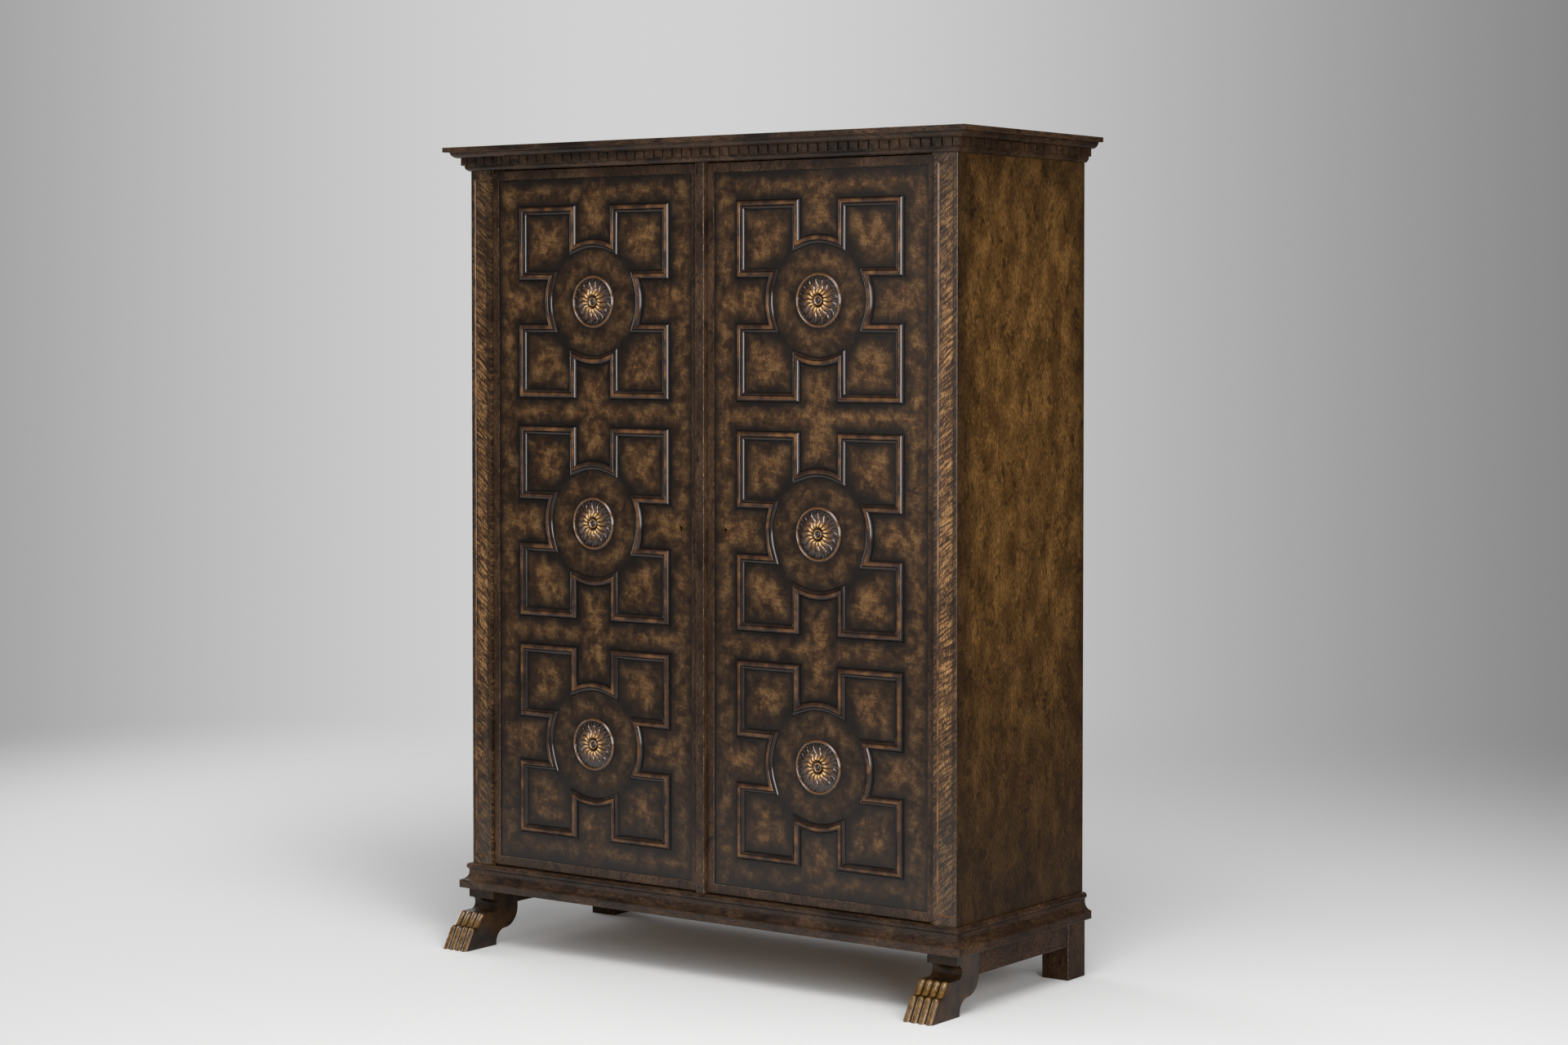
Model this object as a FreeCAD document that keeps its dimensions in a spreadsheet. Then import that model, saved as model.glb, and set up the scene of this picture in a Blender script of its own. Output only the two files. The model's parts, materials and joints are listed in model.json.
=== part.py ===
import FreeCAD, Part
import math
import os
import re

import Sketcher
from FreeCAD import Placement, Rotation, Vector

# A two-door linen press: a plain case between a stepped crown with dentils and a moulded base,
# on carved paw feet. The origin is on the floor, under the middle of the whole; the front faces -Y.

SIZES = [
    ("total_height", 1800, "floor to the top of the crown"),
    ("case_width", 1305, "over the outer faces of the side boards"),
    ("case_depth", 500, "face of the pilasters to the back"),
    ("case_bottom", 125.5, "floor to the underside of the case"),
    ("sill_height", 55.5, "underside of the case to its sill"),
    ("cornice_height", 52.5, "head of the door opening to the top"),
    ("side_board", 20, "thickness of the side boards"),
    ("top_board", 20, "thickness of the top"),
    ("floor_board", 20, "thickness of the case floor"),
    ("back_board", 10, "thickness of the back boards"),
    ("partition_board", 20, "thickness of the middle partition"),
    ("rail_depth", 50, "depth of the head rail and the sill rail"),
    ("pilaster_width", 56, "width of a pilaster"),
    ("pilaster_depth", 30, "depth of a pilaster"),
    ("pilaster_edge", 8.5, "plain border beside the sunk field"),
    ("pilaster_end", 19.5, "plain border above and below the sunk field"),
    ("pilaster_sink", 3, "depth of the sunk field"),
    ("corner_round", 1.5, "rounding of the pilaster's outer arris"),
    ("post_width", 22, "width of the middle post"),
    ("post_proud", 3, "post in front of the pilasters"),
    ("crown_reach", 45.5, "overhang of the crown"),
    ("crown_height", 23.5, "height of the crown"),
    ("crown_fillet", 10.5, "flat face at the top of the crown"),
    ("crown_ledge", 3, "flat under the crown's hollow"),
    ("crown_round", 15, "radius of the crown's quarter round"),
    ("crown_step", 11.5, "width of the flat under the crown's fillet"),
    ("dentil_reach", 16, "dentil face in front of the case"),
    ("dentil_height", 16.5, "height of the dentil band"),
    ("dentil_pitch", 25.5, "dentil to dentil"),
    ("slot_width", 4, "saw cut between two dentils"),
    ("slot_depth", 7, "depth of the saw cut"),
    ("bed_reach", 10, "bed mould under the dentils"),
    ("bed_foot", 1.5, "reach of the bed mould's lower edge"),
    ("bed_round", 11, "radius of the bed mould"),
    ("base_reach", 22, "plinth in front of the case"),
    ("plinth_height", 15, "straight face of the plinth"),
    ("plinth_round", 3, "rounding of the plinth's top edge"),
    ("cove_reach", 6, "reach of the base mould above the cove"),
    ("cove_rise", 15.5, "height of the cove"),
    ("cove_round", 17.5, "radius of the cove"),
    ("bead_height", 13, "height of the bead under the doors"),
    ("bead_round", 7, "radius of that bead"),
    ("bead_cap", 0.5, "flat on top of the bead"),
    ("leg_width", 72, "width of a front foot"),
    ("leg_proud", 6, "foot outside the case"),
    ("block_drop", 21.5, "height of the block on top of a front foot"),
    ("scotia_height", 29, "height of the hollow under that block"),
    ("scotia_round", 15.2, "radius of the hollow"),
    ("scotia_start", 2.7, "hollow behind the pilaster's face"),
    ("toe_reach", 101, "toes in front of the pilasters"),
    ("toe_middle", 73, "top of the lower toes in front of the pilasters"),
    ("knuckle_reach", 62, "foot of the upper toes in front of the pilasters"),
    ("knuckle_top", 40, "crown of the upper toes in front of the pilasters"),
    ("knuckle_height", 77, "floor to the top of the upper toes"),
    ("toe_height", 49, "floor to the top of the lower toes"),
    ("heel_place", 4.2, "heel behind the pilaster's face"),
    ("heel_height", 5, "straight part of the heel"),
    ("heel_round", 30, "lower curve of the bracket"),
    ("bracket_round", 43, "upper curve of the bracket"),
    ("rear_leg_width", 65, "width of a rear leg"),
    ("rear_leg_depth", 70, "depth of a rear leg"),
    ("apron_drop", 52, "height of an apron"),
    ("apron_board", 20, "thickness of an apron"),
    ("apron_proud", 4.5, "apron outside the case"),
    ("shelf_board", 18, "thickness of a shelf"),
    ("shelf_setback", 10, "shelf behind the door post"),
    ("shelf_play", 1, "room at each end of a shelf"),
    ("cleat_height", 20, "height of a shelf cleat"),
    ("cleat_board", 15, "thickness of a shelf cleat"),
    ("door_setback", 8, "door face behind the pilasters"),
    ("door_board", 21, "thickness of a door's panel"),
    ("border_board", 3, "thickness of the border on a door"),
    ("border_side", 17.75, "width of the upright borders"),
    ("border_end", 20.25, "width of the level borders"),
    ("door_gap", 1.5, "gap beside a door"),
    ("door_end_gap", 2, "gap above and below a door"),
    ("figure_margin", 59.5, "least panel round a moulded figure"),
    ("figure_drawn", 428, "figure across, for the two sizes drawn at that scale"),
    ("square_size", 167, "corner square of the figure, across"),
    ("circle_round", 139.2, "radius of the round in the figure"),
    ("mould_width", 22, "width of the applied moulding"),
    ("mould_height", 9, "height of the applied moulding"),
    ("mould_edge", 2, "upright outer edge of that moulding"),
    ("torus_width", 14, "width of its wide round"),
    ("quirk_width", 1.5, "groove beside the wide round"),
    ("quirk_height", 2.5, "floor of that groove above the panel"),
    ("mould_bead", 2.5, "height of the small bead over the groove"),
    ("rosette_round", 58, "radius of a rosette"),
    ("rosette_ring", 7, "width of its ring"),
    ("ring_round", 5.25, "radius of the ring's swell"),
    ("ring_edge", 3, "upright edge of the ring"),
    ("petal_height", 5, "height of the carved dish"),
    ("dish_floor", 2.5, "thinnest place of the dish"),
    ("dish_round", 32, "radius of the dish's swell"),
    ("boss_round", 11, "radius of the boss"),
    ("boss_height", 10, "height of the boss"),
    ("pivot_inset", 4.5, "pivot's line beside the pilaster"),
    ("pivot_pin", 1.5, "radius of a pivot pin"),
    ("pivot_clearance", 0.05, "play round a pivot pin"),
    ("pivot_eye", 3.4, "radius of a pivot's eye"),
    ("pivot_plate", 2.5, "thickness of a pivot plate"),
    ("pivot_arm", 16, "pivot's line to the back of the plate"),
    ("pivot_bar", 8, "width of the plate's bar"),
    ("pivot_length", 48, "length of the plate's bar"),
    ("collar_round", 3, "radius of the collar on a pin"),
    ("collar_clearance", 0.1, "play above the collar"),
    ("lock_length", 64, "lock case, across the door"),
    ("lock_height", 90, "lock case, up the door"),
    ("lock_depth", 14, "thickness of the lock case"),
    ("lock_wall", 3.5, "wall of the lock case"),
    ("lock_setback", 3, "lock case behind the door's edge"),
    ("bolt_length", 40, "length of a bolt"),
    ("bolt_height", 22, "height of a bolt"),
    ("bolt_clearance", 0.3, "play round a bolt"),
    ("bolt_travel", 10, "throw of a bolt"),
    ("strike_room", 2.5, "room beyond the thrown bolt in the post"),
    ("strike_clearance", 0.5, "play round the bolt in its hole"),
    ("strike_board", 1.2, "thickness of a strike plate"),
    ("strike_rim", 5, "strike plate round its hole"),
    ("liner_round", 4.6, "radius of the keyhole liner"),
    ("liner_drop", 9, "keyhole's round to its foot"),
    ("liner_foot", 5.6, "width of the liner's foot"),
    ("liner_wall", 1.1, "wall of the liner"),
    ("liner_proud", 0.6, "liner in front of the panel"),
    ("liner_depth", 6, "liner inside the panel"),
]

doc = FreeCAD.newDocument("linen_press")
sheet = doc.addObject("Spreadsheet::Sheet", "Sizes")
for row, (alias, size, note) in enumerate(SIZES, start=1):
    sheet.set("A%d" % row, alias)
    sheet.set("B%d" % row, str(size))
    sheet.set("C%d" % row, note)
    sheet.setAlias("B%d" % row, alias)
doc.recompute()

# Places that many pieces share, in terms of the sizes
half_case = "(case_width / 2)"
face = "((toe_reach - case_depth) / 2)"
back = "((toe_reach + case_depth) / 2)"
rear_face = "(%s - back_board)" % back
rail_back = "(%s + rail_depth)" % face
sill = "(case_bottom + sill_height)"
head = "(total_height - cornice_height)"
ceiling = "(total_height - top_board)"
opening = "(case_width / 2 - pilaster_width)"
side_inner = "(case_width / 2 - side_board)"

AXIS_X = Vector(1, 0, 0)
AXIS_Y = Vector(0, 1, 0)
AXIS_Z = Vector(0, 0, 1)
QUARTER = 90
FULL_TURN = 360
pieces = []


def measure(text):
    """The number that an expression of the sheet's sizes gives."""
    return float(sheet.evalExpression(text))


def bind(item, name, text):
    """Ties one property of an object to sizes of the sheet."""
    linked = re.sub(r"\b[a-z]+(?:_[a-z]+)+\b", lambda word: "Sizes." + word.group(0), text)
    item.setExpression(name, linked)


def place(item, x="0", y="0", z="0"):
    """Ties an object's place to sizes of the sheet."""
    bind(item, "Placement.Base.x", x)
    bind(item, "Placement.Base.y", y)
    bind(item, "Placement.Base.z", z)
    return item


def keep(item, label):
    """Names a finished sub-part."""
    item.Label = label
    pieces.append(item)
    return item


def board(name, across, deep, high):
    """A squared board between pairs of places along X, Y and Z."""
    box = doc.addObject("Part::Box", name)
    for prop, (start, end) in zip(("Length", "Width", "Height"), (across, deep, high)):
        bind(box, prop, "(%s) - (%s)" % (end, start))
    return place(box, across[0], deep[0], high[0])


def fuse(name, parts):
    joined = doc.addObject("Part::MultiFuse", name)
    joined.Shapes = parts
    return joined


def cut(name, base, tools):
    """A base with one or more tools taken out of it."""
    whole = doc.addObject("Part::Cut", name)
    whole.Base = base
    whole.Tool = tools[0] if len(tools) == 1 else fuse(name + "_tools", tools)
    return whole


def group(name, parts):
    """Separate solids of one kind that share a node."""
    held = doc.addObject("Part::Compound", name)
    held.Links = parts
    return held


def mirror(item, name):
    """The right-hand twin of a left-hand object."""
    twin = doc.addObject("Part::Mirroring", name)
    twin.Source = item
    twin.Normal = AXIS_X
    return twin


def pair(item, label):
    """Keeps a left-hand sub-part and its right-hand twin."""
    keep(item, label)
    return keep(mirror(item, label.replace("left", "right") + "_twin"), label.replace("left", "right"))


def pin(name, radius, height, x, y, z):
    """An upright round between two heights."""
    rod = doc.addObject("Part::Cylinder", name)
    bind(rod, "Radius", radius)
    bind(rod, "Height", height)
    return place(rod, x, y, z)


def origin_plane(body, role):
    return next(feature for feature in body.Origin.OriginFeatures if feature.Role == role)


def add_arc(sketch, start, end, radius, turn):
    """An arc from start to end that turns left or right on its way."""
    chord = end - start
    normal = Vector(-chord.y, chord.x, 0).normalize()
    rise = math.sqrt(max(radius ** 2 - (chord.Length / 2) ** 2, 0))
    if turn == "right":
        rise = -rise
    centre = (start + end) * 0.5 + normal * rise
    first, last = (start, end) if turn == "left" else (end, start)
    first_angle = math.atan2(first.y - centre.y, first.x - centre.x)
    last_angle = math.atan2(last.y - centre.y, last.x - centre.x)
    circle = Part.Circle(centre, AXIS_Z, radius)
    return sketch.addGeometry(Part.ArcOfCircle(circle, first_angle, last_angle))


def outline(body, role, steps):
    """A closed sketch through places given as pairs of expressions. A step with a radius and a
    turn is reached by an arc, and any other step by a straight line."""
    sketch = body.newObject("Sketcher::SketchObject", body.Name + "_outline")
    sketch.AttachmentSupport = (origin_plane(body, role), [""])
    sketch.MapMode = "FlatFace"
    points = [Vector(measure(step[0]), measure(step[1]), 0) for step in steps]
    ends = []
    for count, step in enumerate(steps):
        start, end = points[count - 1], points[count]
        if len(step) == 4:
            edge = add_arc(sketch, start, end, measure(step[2]), step[3])
            limit = sketch.addConstraint(Sketcher.Constraint("Radius", edge, measure(step[2])))
            bind(sketch, "Constraints[%d]" % limit, step[2])
            ends.append((edge, 1, 2) if step[3] == "left" else (edge, 2, 1))
        else:
            ends.append((sketch.addGeometry(Part.LineSegment(start, end)), 1, 2))
    for count, (edge, tail, tip) in enumerate(ends):
        following, following_tail, _ = ends[(count + 1) % len(ends)]
        sketch.addConstraint(Sketcher.Constraint("Coincident", edge, tip, following, following_tail))
        for axis, text, size in zip(("DistanceX", "DistanceY"), steps[count], points[count]):
            limit = sketch.addConstraint(Sketcher.Constraint(axis, -1, 1, edge, tip, size))
            bind(sketch, "Constraints[%d]" % limit, text)
    return sketch


def padded(name, role, steps, length):
    """A body made by padding a profile evenly to both sides of its plane."""
    body = doc.addObject("PartDesign::Body", name)
    pad = body.newObject("PartDesign::Pad", name + "_pad")
    pad.Profile = outline(body, role, steps)
    pad.SideType = "Symmetric"
    bind(pad, "Length", length)
    body.Tip = pad
    return body


# Case boards

def case_boards():
    lower = "case_bottom"
    pair(board("left_side", ("-" + half_case, "-" + side_inner), (face + " + pilaster_depth", back),
               (lower, ceiling)), "left_side")
    keep(board("top", ("-" + half_case, half_case), (face, back), (ceiling, "total_height")), "top_board")
    floor_z = (sill + " - floor_board", sill)
    keep(board("floor", ("-" + side_inner, side_inner), (rail_back, rear_face), floor_z), "floor_board")
    pair(board("left_back", ("-" + side_inner, "0"), (rear_face, back), (lower, ceiling)), "left_back")
    partition_x = ("-partition_board / 2", "partition_board / 2")
    keep(board("partition", partition_x, (rail_back, rear_face), (sill, ceiling)), "centre_partition")


def pilasters():
    """Squared posts at the front corners, each with a long sunk field on its face."""
    width, depth = "pilaster_width", "pilaster_depth"
    body = padded("left_pilaster_body", "XY_Plane",
                  [("corner_round", "0", "corner_round", "left"), (width, "0"), (width, depth), ("0", depth),
                   ("0", "corner_round")],
                  "total_height - top_board - case_bottom")
    body.Tip.SideType = "One side"
    place(body, "-" + half_case, face, "case_bottom")
    field = board("left_pilaster_field",
                  ("-%s + pilaster_edge" % half_case, "-%s - pilaster_edge" % opening),
                  (face + " - pilaster_sink", face + " + pilaster_sink"),
                  (sill + " + pilaster_end", head + " - pilaster_end"))
    pair(cut("left_pilaster", body, [field]), "left_pilaster")


# Pivot hinges

pivot_x = "(-%s + pivot_inset)" % opening
pivot_y = "(%s + door_setback / 2)" % face
door_start = "(-%s + door_gap)" % opening
door_end = "(-post_width / 2 - door_gap)"
door_foot = "(%s + door_end_gap)" % sill
door_head = "(%s - door_end_gap)" % head
door_face = "(%s + door_setback)" % face
panel_face = "(%s + border_board)" % door_face
panel_back = "(%s + door_board)" % panel_face
bar_front = "(%s + pivot_arm - pivot_bar)" % pivot_y
bar_back = "(%s + pivot_arm)" % pivot_y


def pivot_leaf_boxes(name, low, high):
    """The two arms of a door's pivot plate: one back from the pin, one along the door's edge."""
    arm = board(name + "_arm", (door_start, pivot_x + " + pivot_eye"), (pivot_y, bar_back), (low, high))
    bar = board(name + "_bar", (door_start, door_start + " + pivot_length"), (bar_front, bar_back),
                (low, high))
    return [arm, bar]


def pivots():
    """A plate with an eye in each end of a door, and a plate with a pin above and below it."""
    leaves, plates, seats = [], [], []
    bore = "pivot_pin + pivot_clearance"
    ends = [("upper", door_head + " - pivot_plate", door_head, head,
             head + " + pivot_plate", door_head + " - pivot_plate", door_head + " + collar_clearance"),
            ("lower", door_foot, door_foot + " + pivot_plate", sill + " - pivot_plate",
             sill, sill, sill)]
    for end, leaf_low, leaf_high, plate_low, plate_high, pin_low, collar_low in ends:
        name = "left_pivot_" + end
        eye = pin(name + "_eye", "pivot_eye", "pivot_plate", pivot_x, pivot_y, leaf_low)
        leaf = fuse(name + "_leaf", pivot_leaf_boxes(name, leaf_low, leaf_high) + [eye])
        hole = pin(name + "_hole", bore, "pivot_plate", pivot_x, pivot_y, leaf_low)
        leaves.append(cut(name + "_bored", leaf, [hole]))
        plate = board(name + "_plate", ("-%s" % opening, "-%s + pivot_length" % opening),
                      (face, pivot_y + " + pivot_eye"), (plate_low, plate_high))
        seats.append(board(name + "_seat", ("-%s" % opening, "-%s + pivot_length" % opening),
                           (face, pivot_y + " + pivot_eye"), (plate_low, plate_high)))
        rod = pin(name + "_pin", "pivot_pin", "door_end_gap + pivot_plate", pivot_x, pivot_y, pin_low)
        collar = pin(name + "_collar", "collar_round", "door_end_gap - collar_clearance",
                     pivot_x, pivot_y, collar_low)
        plates.append(fuse(name + "_pinned", [plate, rod, collar]))
    left_plates = group("left_pivot_plates", plates)
    keep(group("all_pivot_plates", [left_plates, mirror(left_plates, "right_pivot_plates")]),
         "pivot_plates")
    pair(group("left_leaves", leaves), "left_door_pivots")
    return seats


def rails(seats):
    """The head rail over the doors and the sill rail under them, let out for the pivot plates."""
    span = ("-" + opening, opening)
    upper, lower = seats
    head_rail = board("head_rail_board", span, (face, rail_back), (head, ceiling))
    keep(cut("head_rail_cut", head_rail, [upper, mirror(upper, "upper_seat_twin")]), "head_rail")
    sill_rail = board("sill_rail_board", span, (face, rail_back), ("case_bottom", sill))
    keep(cut("sill_rail_cut", sill_rail, [lower, mirror(lower, "lower_seat_twin")]), "sill_rail")


# Mouldings

def dentil_slots(body, length, low):
    """Saw cuts at an even pitch along the whole band."""
    count = int((measure(length) + measure("slot_width")) // measure("dentil_pitch"))
    start = "-dentil_pitch * %d / 2" % (count - 1)
    left, right = start + " - slot_width / 2", start + " + slot_width / 2"
    steps = [(left, low), (right, low), (right, low + " + dentil_height"), (left, low + " + dentil_height")]
    sketch = outline(body, "XZ_Plane", steps)
    bind(sketch, "AttachmentOffset.Base.z", "dentil_reach")
    slot = body.newObject("PartDesign::Pocket", body.Name + "_slot")
    slot.Profile = sketch
    slot.SideType = "Symmetric"
    bind(slot, "Length", "2 * slot_depth")
    pattern = body.newObject("PartDesign::LinearPattern", body.Name + "_slots")
    pattern.Originals = [slot]
    pattern.Direction = (sketch, ["H_Axis"])
    bind(pattern, "Length", "dentil_pitch * %d" % (count - 1))
    pattern.Occurrences = count
    body.Tip = pattern


def mitre_block(name, x, angle):
    """A block whose edge stands on a front corner of the case, turned to trim a mitre."""
    block = doc.addObject("Part::Box", name)
    for prop in ("Length", "Width"):
        bind(block, prop, "4 * crown_reach")
    bind(block, "Height", "total_height")
    block.Placement = Placement(Vector(), Rotation(AXIS_Z, angle))
    return place(block, x, face)


def mould_run(label, reach, steps, slotted_from=None):
    """One moulding along the front and down both sides, mitred at the corners."""
    front_length = "case_width + 2 * " + reach
    front = padded(label + "_front_body", "YZ_Plane", steps, front_length)
    side_length = "case_depth + " + reach
    side = padded(label + "_side_body", "YZ_Plane", steps, side_length)
    if slotted_from:
        dentil_slots(front, front_length, slotted_from)
        dentil_slots(side, side_length, slotted_from)
    place(front, "0", face)
    side.Placement = Placement(Vector(), Rotation(AXIS_Z, -QUARTER))
    place(side, "-" + half_case, "%s + (case_depth - %s) / 2" % (face, reach))
    left_end = mitre_block(label + "_left_end", "-" + half_case, QUARTER * 1.5)
    right_end = mirror(left_end, label + "_right_end")
    keep(cut(label + "_front_run", front, [left_end, right_end]), label + "_front")
    corner = mitre_block(label + "_corner", "-" + half_case, QUARTER * 2.5)
    pair(cut(label + "_side_run", side, [corner]), label + "_left")


def mouldings():
    """Profiles are drawn with -X outwards and Y up, against the case at X = 0."""
    top, crown_low = "total_height", "total_height - crown_height"
    fillet_low = "total_height - crown_fillet"
    crown = [("0", crown_low),
             ("-dentil_reach - crown_ledge", crown_low),
             ("-crown_reach + crown_step", fillet_low, "crown_round", "right"),
             ("-crown_reach", fillet_low),
             ("-crown_reach", top),
             ("0", top)]
    mould_run("crown", "crown_reach", crown)
    band_low = "%s - dentil_height" % crown_low
    dentil = [("0", head),
              ("-bed_foot", head),
              ("-bed_reach", band_low, "bed_round", "right"),
              ("-dentil_reach", band_low),
              ("-dentil_reach", crown_low),
              ("0", crown_low)]
    mould_run("dentil", "dentil_reach", dentil, slotted_from=band_low)
    plinth_top = "case_bottom + plinth_height"
    cove_low = plinth_top + " + plinth_round"
    cove_high = cove_low + " + cove_rise"
    bead_top = sill + " - bead_cap"
    base = [("0", "case_bottom"),
            ("-base_reach", "case_bottom"),
            ("-base_reach", plinth_top),
            ("-base_reach + plinth_round", cove_low, "plinth_round", "right"),
            ("-cove_reach", cove_high, "cove_round", "left"),
            ("-cove_reach", bead_top + " - bead_height"),
            ("-cove_reach", bead_top, "bead_round", "right"),
            ("-cove_reach", sill),
            ("0", sill)]
    mould_run("base_moulding", "base_reach", base)


# Feet and aprons

foot_outer = "(-%s - leg_proud)" % half_case
bracket_back = "(heel_place + heel_round + bracket_round)"
apron_low = "(case_bottom - apron_drop)"
TOES = 4


def toe_line(low_reach, low, high_reach, high):
    """The axis of a toe whose crown runs up the given slope: from below its foot to the centre
    of its ball, which just reaches the upper height."""
    radius = measure("leg_width") / (2 * TOES)
    crown_foot = Vector(0, measure("%s - %s" % (face, low_reach)), measure(low))
    rise = Vector(0, measure("%s - %s" % (low_reach, high_reach)), measure("%s - %s" % (high, low)))
    rise.normalize()
    foot = crown_foot + Vector(0, rise.z, -rise.y) * radius
    ball = foot + rise * ((measure(high) - radius - foot.z) / rise.z)
    return foot - rise * radius, ball


def toe_row(name, low, ball):
    """Half-round toes side by side, each a slanted rod under a ball."""
    radius = measure("leg_width") / (2 * TOES)
    slant = ball - low
    toes = []
    for toe in range(TOES):
        across = Vector(measure(foot_outer) + radius * (2 * toe + 1), 0, 0)
        rod = Part.makeCylinder(radius, slant.Length, low + across, slant)
        toes.append(rod.fuse(Part.makeSphere(radius, ball + across)))
    row = doc.addObject("Part::Feature", name)
    row.Shape = toes[0].multiFuse(toes[1:])
    return row


def paw_feet():
    """A bracket foot with a hollow under its block and two rows of toes on its sloping front."""
    lower_low, lower_ball = toe_line("toe_reach", "0", "toe_middle", "toe_height")
    upper_low, upper_ball = toe_line("knuckle_reach", "toe_height", "knuckle_top", "knuckle_height")
    rows = [toe_row("left_lower_toes", lower_low, lower_ball),
            toe_row("left_upper_toes", upper_low, upper_ball)]
    front = measure(face)
    slant = (lower_ball - lower_low) * (-lower_low.z / (lower_ball.z - lower_low.z))
    sole = lower_low + slant
    scotia_top = "case_bottom - block_drop"
    scotia_foot = scotia_top + " - scotia_height"
    steps = [("-leg_proud", "case_bottom"),
             ("-leg_proud", scotia_top),
             ("scotia_start", scotia_top),
             ("scotia_start", scotia_foot, "scotia_round", "right"),
             (str(upper_ball.y - front), scotia_foot),
             (str(upper_ball.y - front), str(upper_ball.z)),
             (str(upper_low.y - front), str(upper_low.z)),
             (str(lower_ball.y - front), str(lower_ball.z)),
             (str(sole.y - front), "0"),
             ("heel_place", "0"),
             ("heel_place", "heel_height"),
             ("heel_place + heel_round", "heel_height + heel_round", "heel_round", "right"),
             (bracket_back, "heel_height + heel_round + bracket_round", "bracket_round", "left"),
             (bracket_back, "case_bottom")]
    core = padded("left_foot_core", "YZ_Plane", steps, "leg_width")
    place(core, foot_outer + " + leg_width / 2", face)
    whole = fuse("left_foot_whole", [core] + rows)
    ground = board("left_foot_ground", (foot_outer + " - leg_width", foot_outer + " + 2 * leg_width"),
                   (face + " - 2 * toe_reach", back), ("-toe_reach", "0"))
    pair(cut("left_foot", whole, [ground]), "left_paw_foot")


def rear_legs_and_aprons():
    leg_inner = foot_outer + " + rear_leg_width"
    leg_front = back + " - rear_leg_depth"
    pair(board("left_rear", (foot_outer, leg_inner), (leg_front, back), ("0", "case_bottom")),
         "left_rear_leg")
    apron_x = ("-%s - apron_proud" % half_case, "-%s - apron_proud + apron_board" % half_case)
    pair(board("left_skirt", apron_x, (face + " + " + bracket_back, leg_front),
               (apron_low, "case_bottom")), "left_apron")
    keep(board("rear_skirt", (leg_inner, "-(%s)" % leg_inner), (back + " - apron_board", back),
               (apron_low, "case_bottom")), "rear_apron")


# Shelves on cleats, two behind each door

def shelves():
    storey = "((%s - %s) / 3)" % (ceiling, sill)
    run = (rail_back + " + shelf_setback", rear_face + " - shelf_play")
    cleats = []
    for count, place_name in enumerate(("lower", "upper"), start=1):
        level = "(%s + %s * %d)" % (sill, storey, count)
        shelf_x = ("-%s + shelf_play" % side_inner, "-partition_board / 2 - shelf_play")
        name = "left_%s_shelf" % place_name
        pair(board(name, shelf_x, run, (level, level + " + shelf_board")), name)
        ends = [("outer", "-" + side_inner, "-%s + cleat_board" % side_inner),
                ("inner", "-partition_board / 2 - cleat_board", "-partition_board / 2")]
        for side, start, end in ends:
            cleats.append(board("left_%s_%s_cleat" % (place_name, side), (start, end), run,
                                (level + " - cleat_height", level)))
    left = group("left_cleats", cleats)
    keep(group("all_cleats", [left, mirror(left, "right_cleats")]), "shelf_cleats")


# Doors

MOULD_STEPS = 6
FIGURES = 3
field_width = "(%s - %s - 2 * border_side)" % (door_end, door_start)
field_height = "(%s - %s - 2 * border_end)" % (door_head, door_foot)
figure_size = "min(%s - 2 * figure_margin; (%s - %d * figure_margin) / %d)" % (
    field_width, field_height, FIGURES + 1, FIGURES)
figure_pitch = "((%s + %s) / %d)" % (field_height, figure_size, FIGURES + 1)
key_x = "(%s - border_side - (%s - %s) / 4)" % (door_end, field_width, figure_size)
door_middle_x = "((%s + %s) / 2)" % (door_start, door_end)
door_middle_z = "((%s + %s) / 2)" % (door_foot, door_head)
STOREYS = (("upper", 1), ("middle", 0), ("lower", -1))


def figure_wire(inset, height):
    """The figure's outline, four squares joined by a round, drawn in by an inset and raised by a
    height in front of the panel."""
    share = measure("%s / figure_drawn" % figure_size)
    outer = measure("figure_drawn") * share / 2 - inset
    inner = measure("figure_drawn / 2 - square_size") * share + inset
    radius = measure("circle_round") * share - inset
    meet = math.sqrt(radius ** 2 - inner ** 2)
    y = measure(panel_face) - height
    corner = [(meet, inner), (outer, inner), (outer, outer), (inner, outer), (inner, meet)]
    edges = []
    for quarter in range(4):
        turn = Rotation(AXIS_Y, -QUARTER * quarter)
        points = [turn.multVec(Vector(x, y, z)) for x, z in corner]
        edges += [Part.LineSegment(a, b).toShape() for a, b in zip(points, points[1:])]
        following = Rotation(AXIS_Y, -QUARTER * (quarter + 1)).multVec(Vector(meet, y, inner))
        summit = turn.multVec(Vector(0, y, radius))
        edges.append(Part.Arc(points[-1], summit, following).toShape())
    return Part.Wire(edges)


def mould_profile():
    """Insets and heights across the moulding: an upright edge, a wide round, a groove, a bead."""
    edge, torus = measure("mould_edge"), measure("torus_width")
    quirk, floor = measure("quirk_width"), measure("quirk_height")
    bead = measure("mould_width") - torus - quirk
    profile = [(0, 0)]
    for step in range(MOULD_STEPS + 1):
        angle = math.pi * step / MOULD_STEPS
        base = edge + (floor - edge) * step / MOULD_STEPS
        rise = (measure("mould_height") - edge) * math.sin(angle)
        profile.append((torus * (1 - math.cos(angle)) / 2, base + rise))
    for step in range(MOULD_STEPS // 2 + 1):
        angle = math.pi * step * 2 / MOULD_STEPS
        across = torus + quirk + bead * (1 - math.cos(angle)) / 2
        profile.append((across, floor + measure("mould_bead") * math.sin(angle)))
    return profile + [(measure("mould_width"), 0)]


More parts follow.
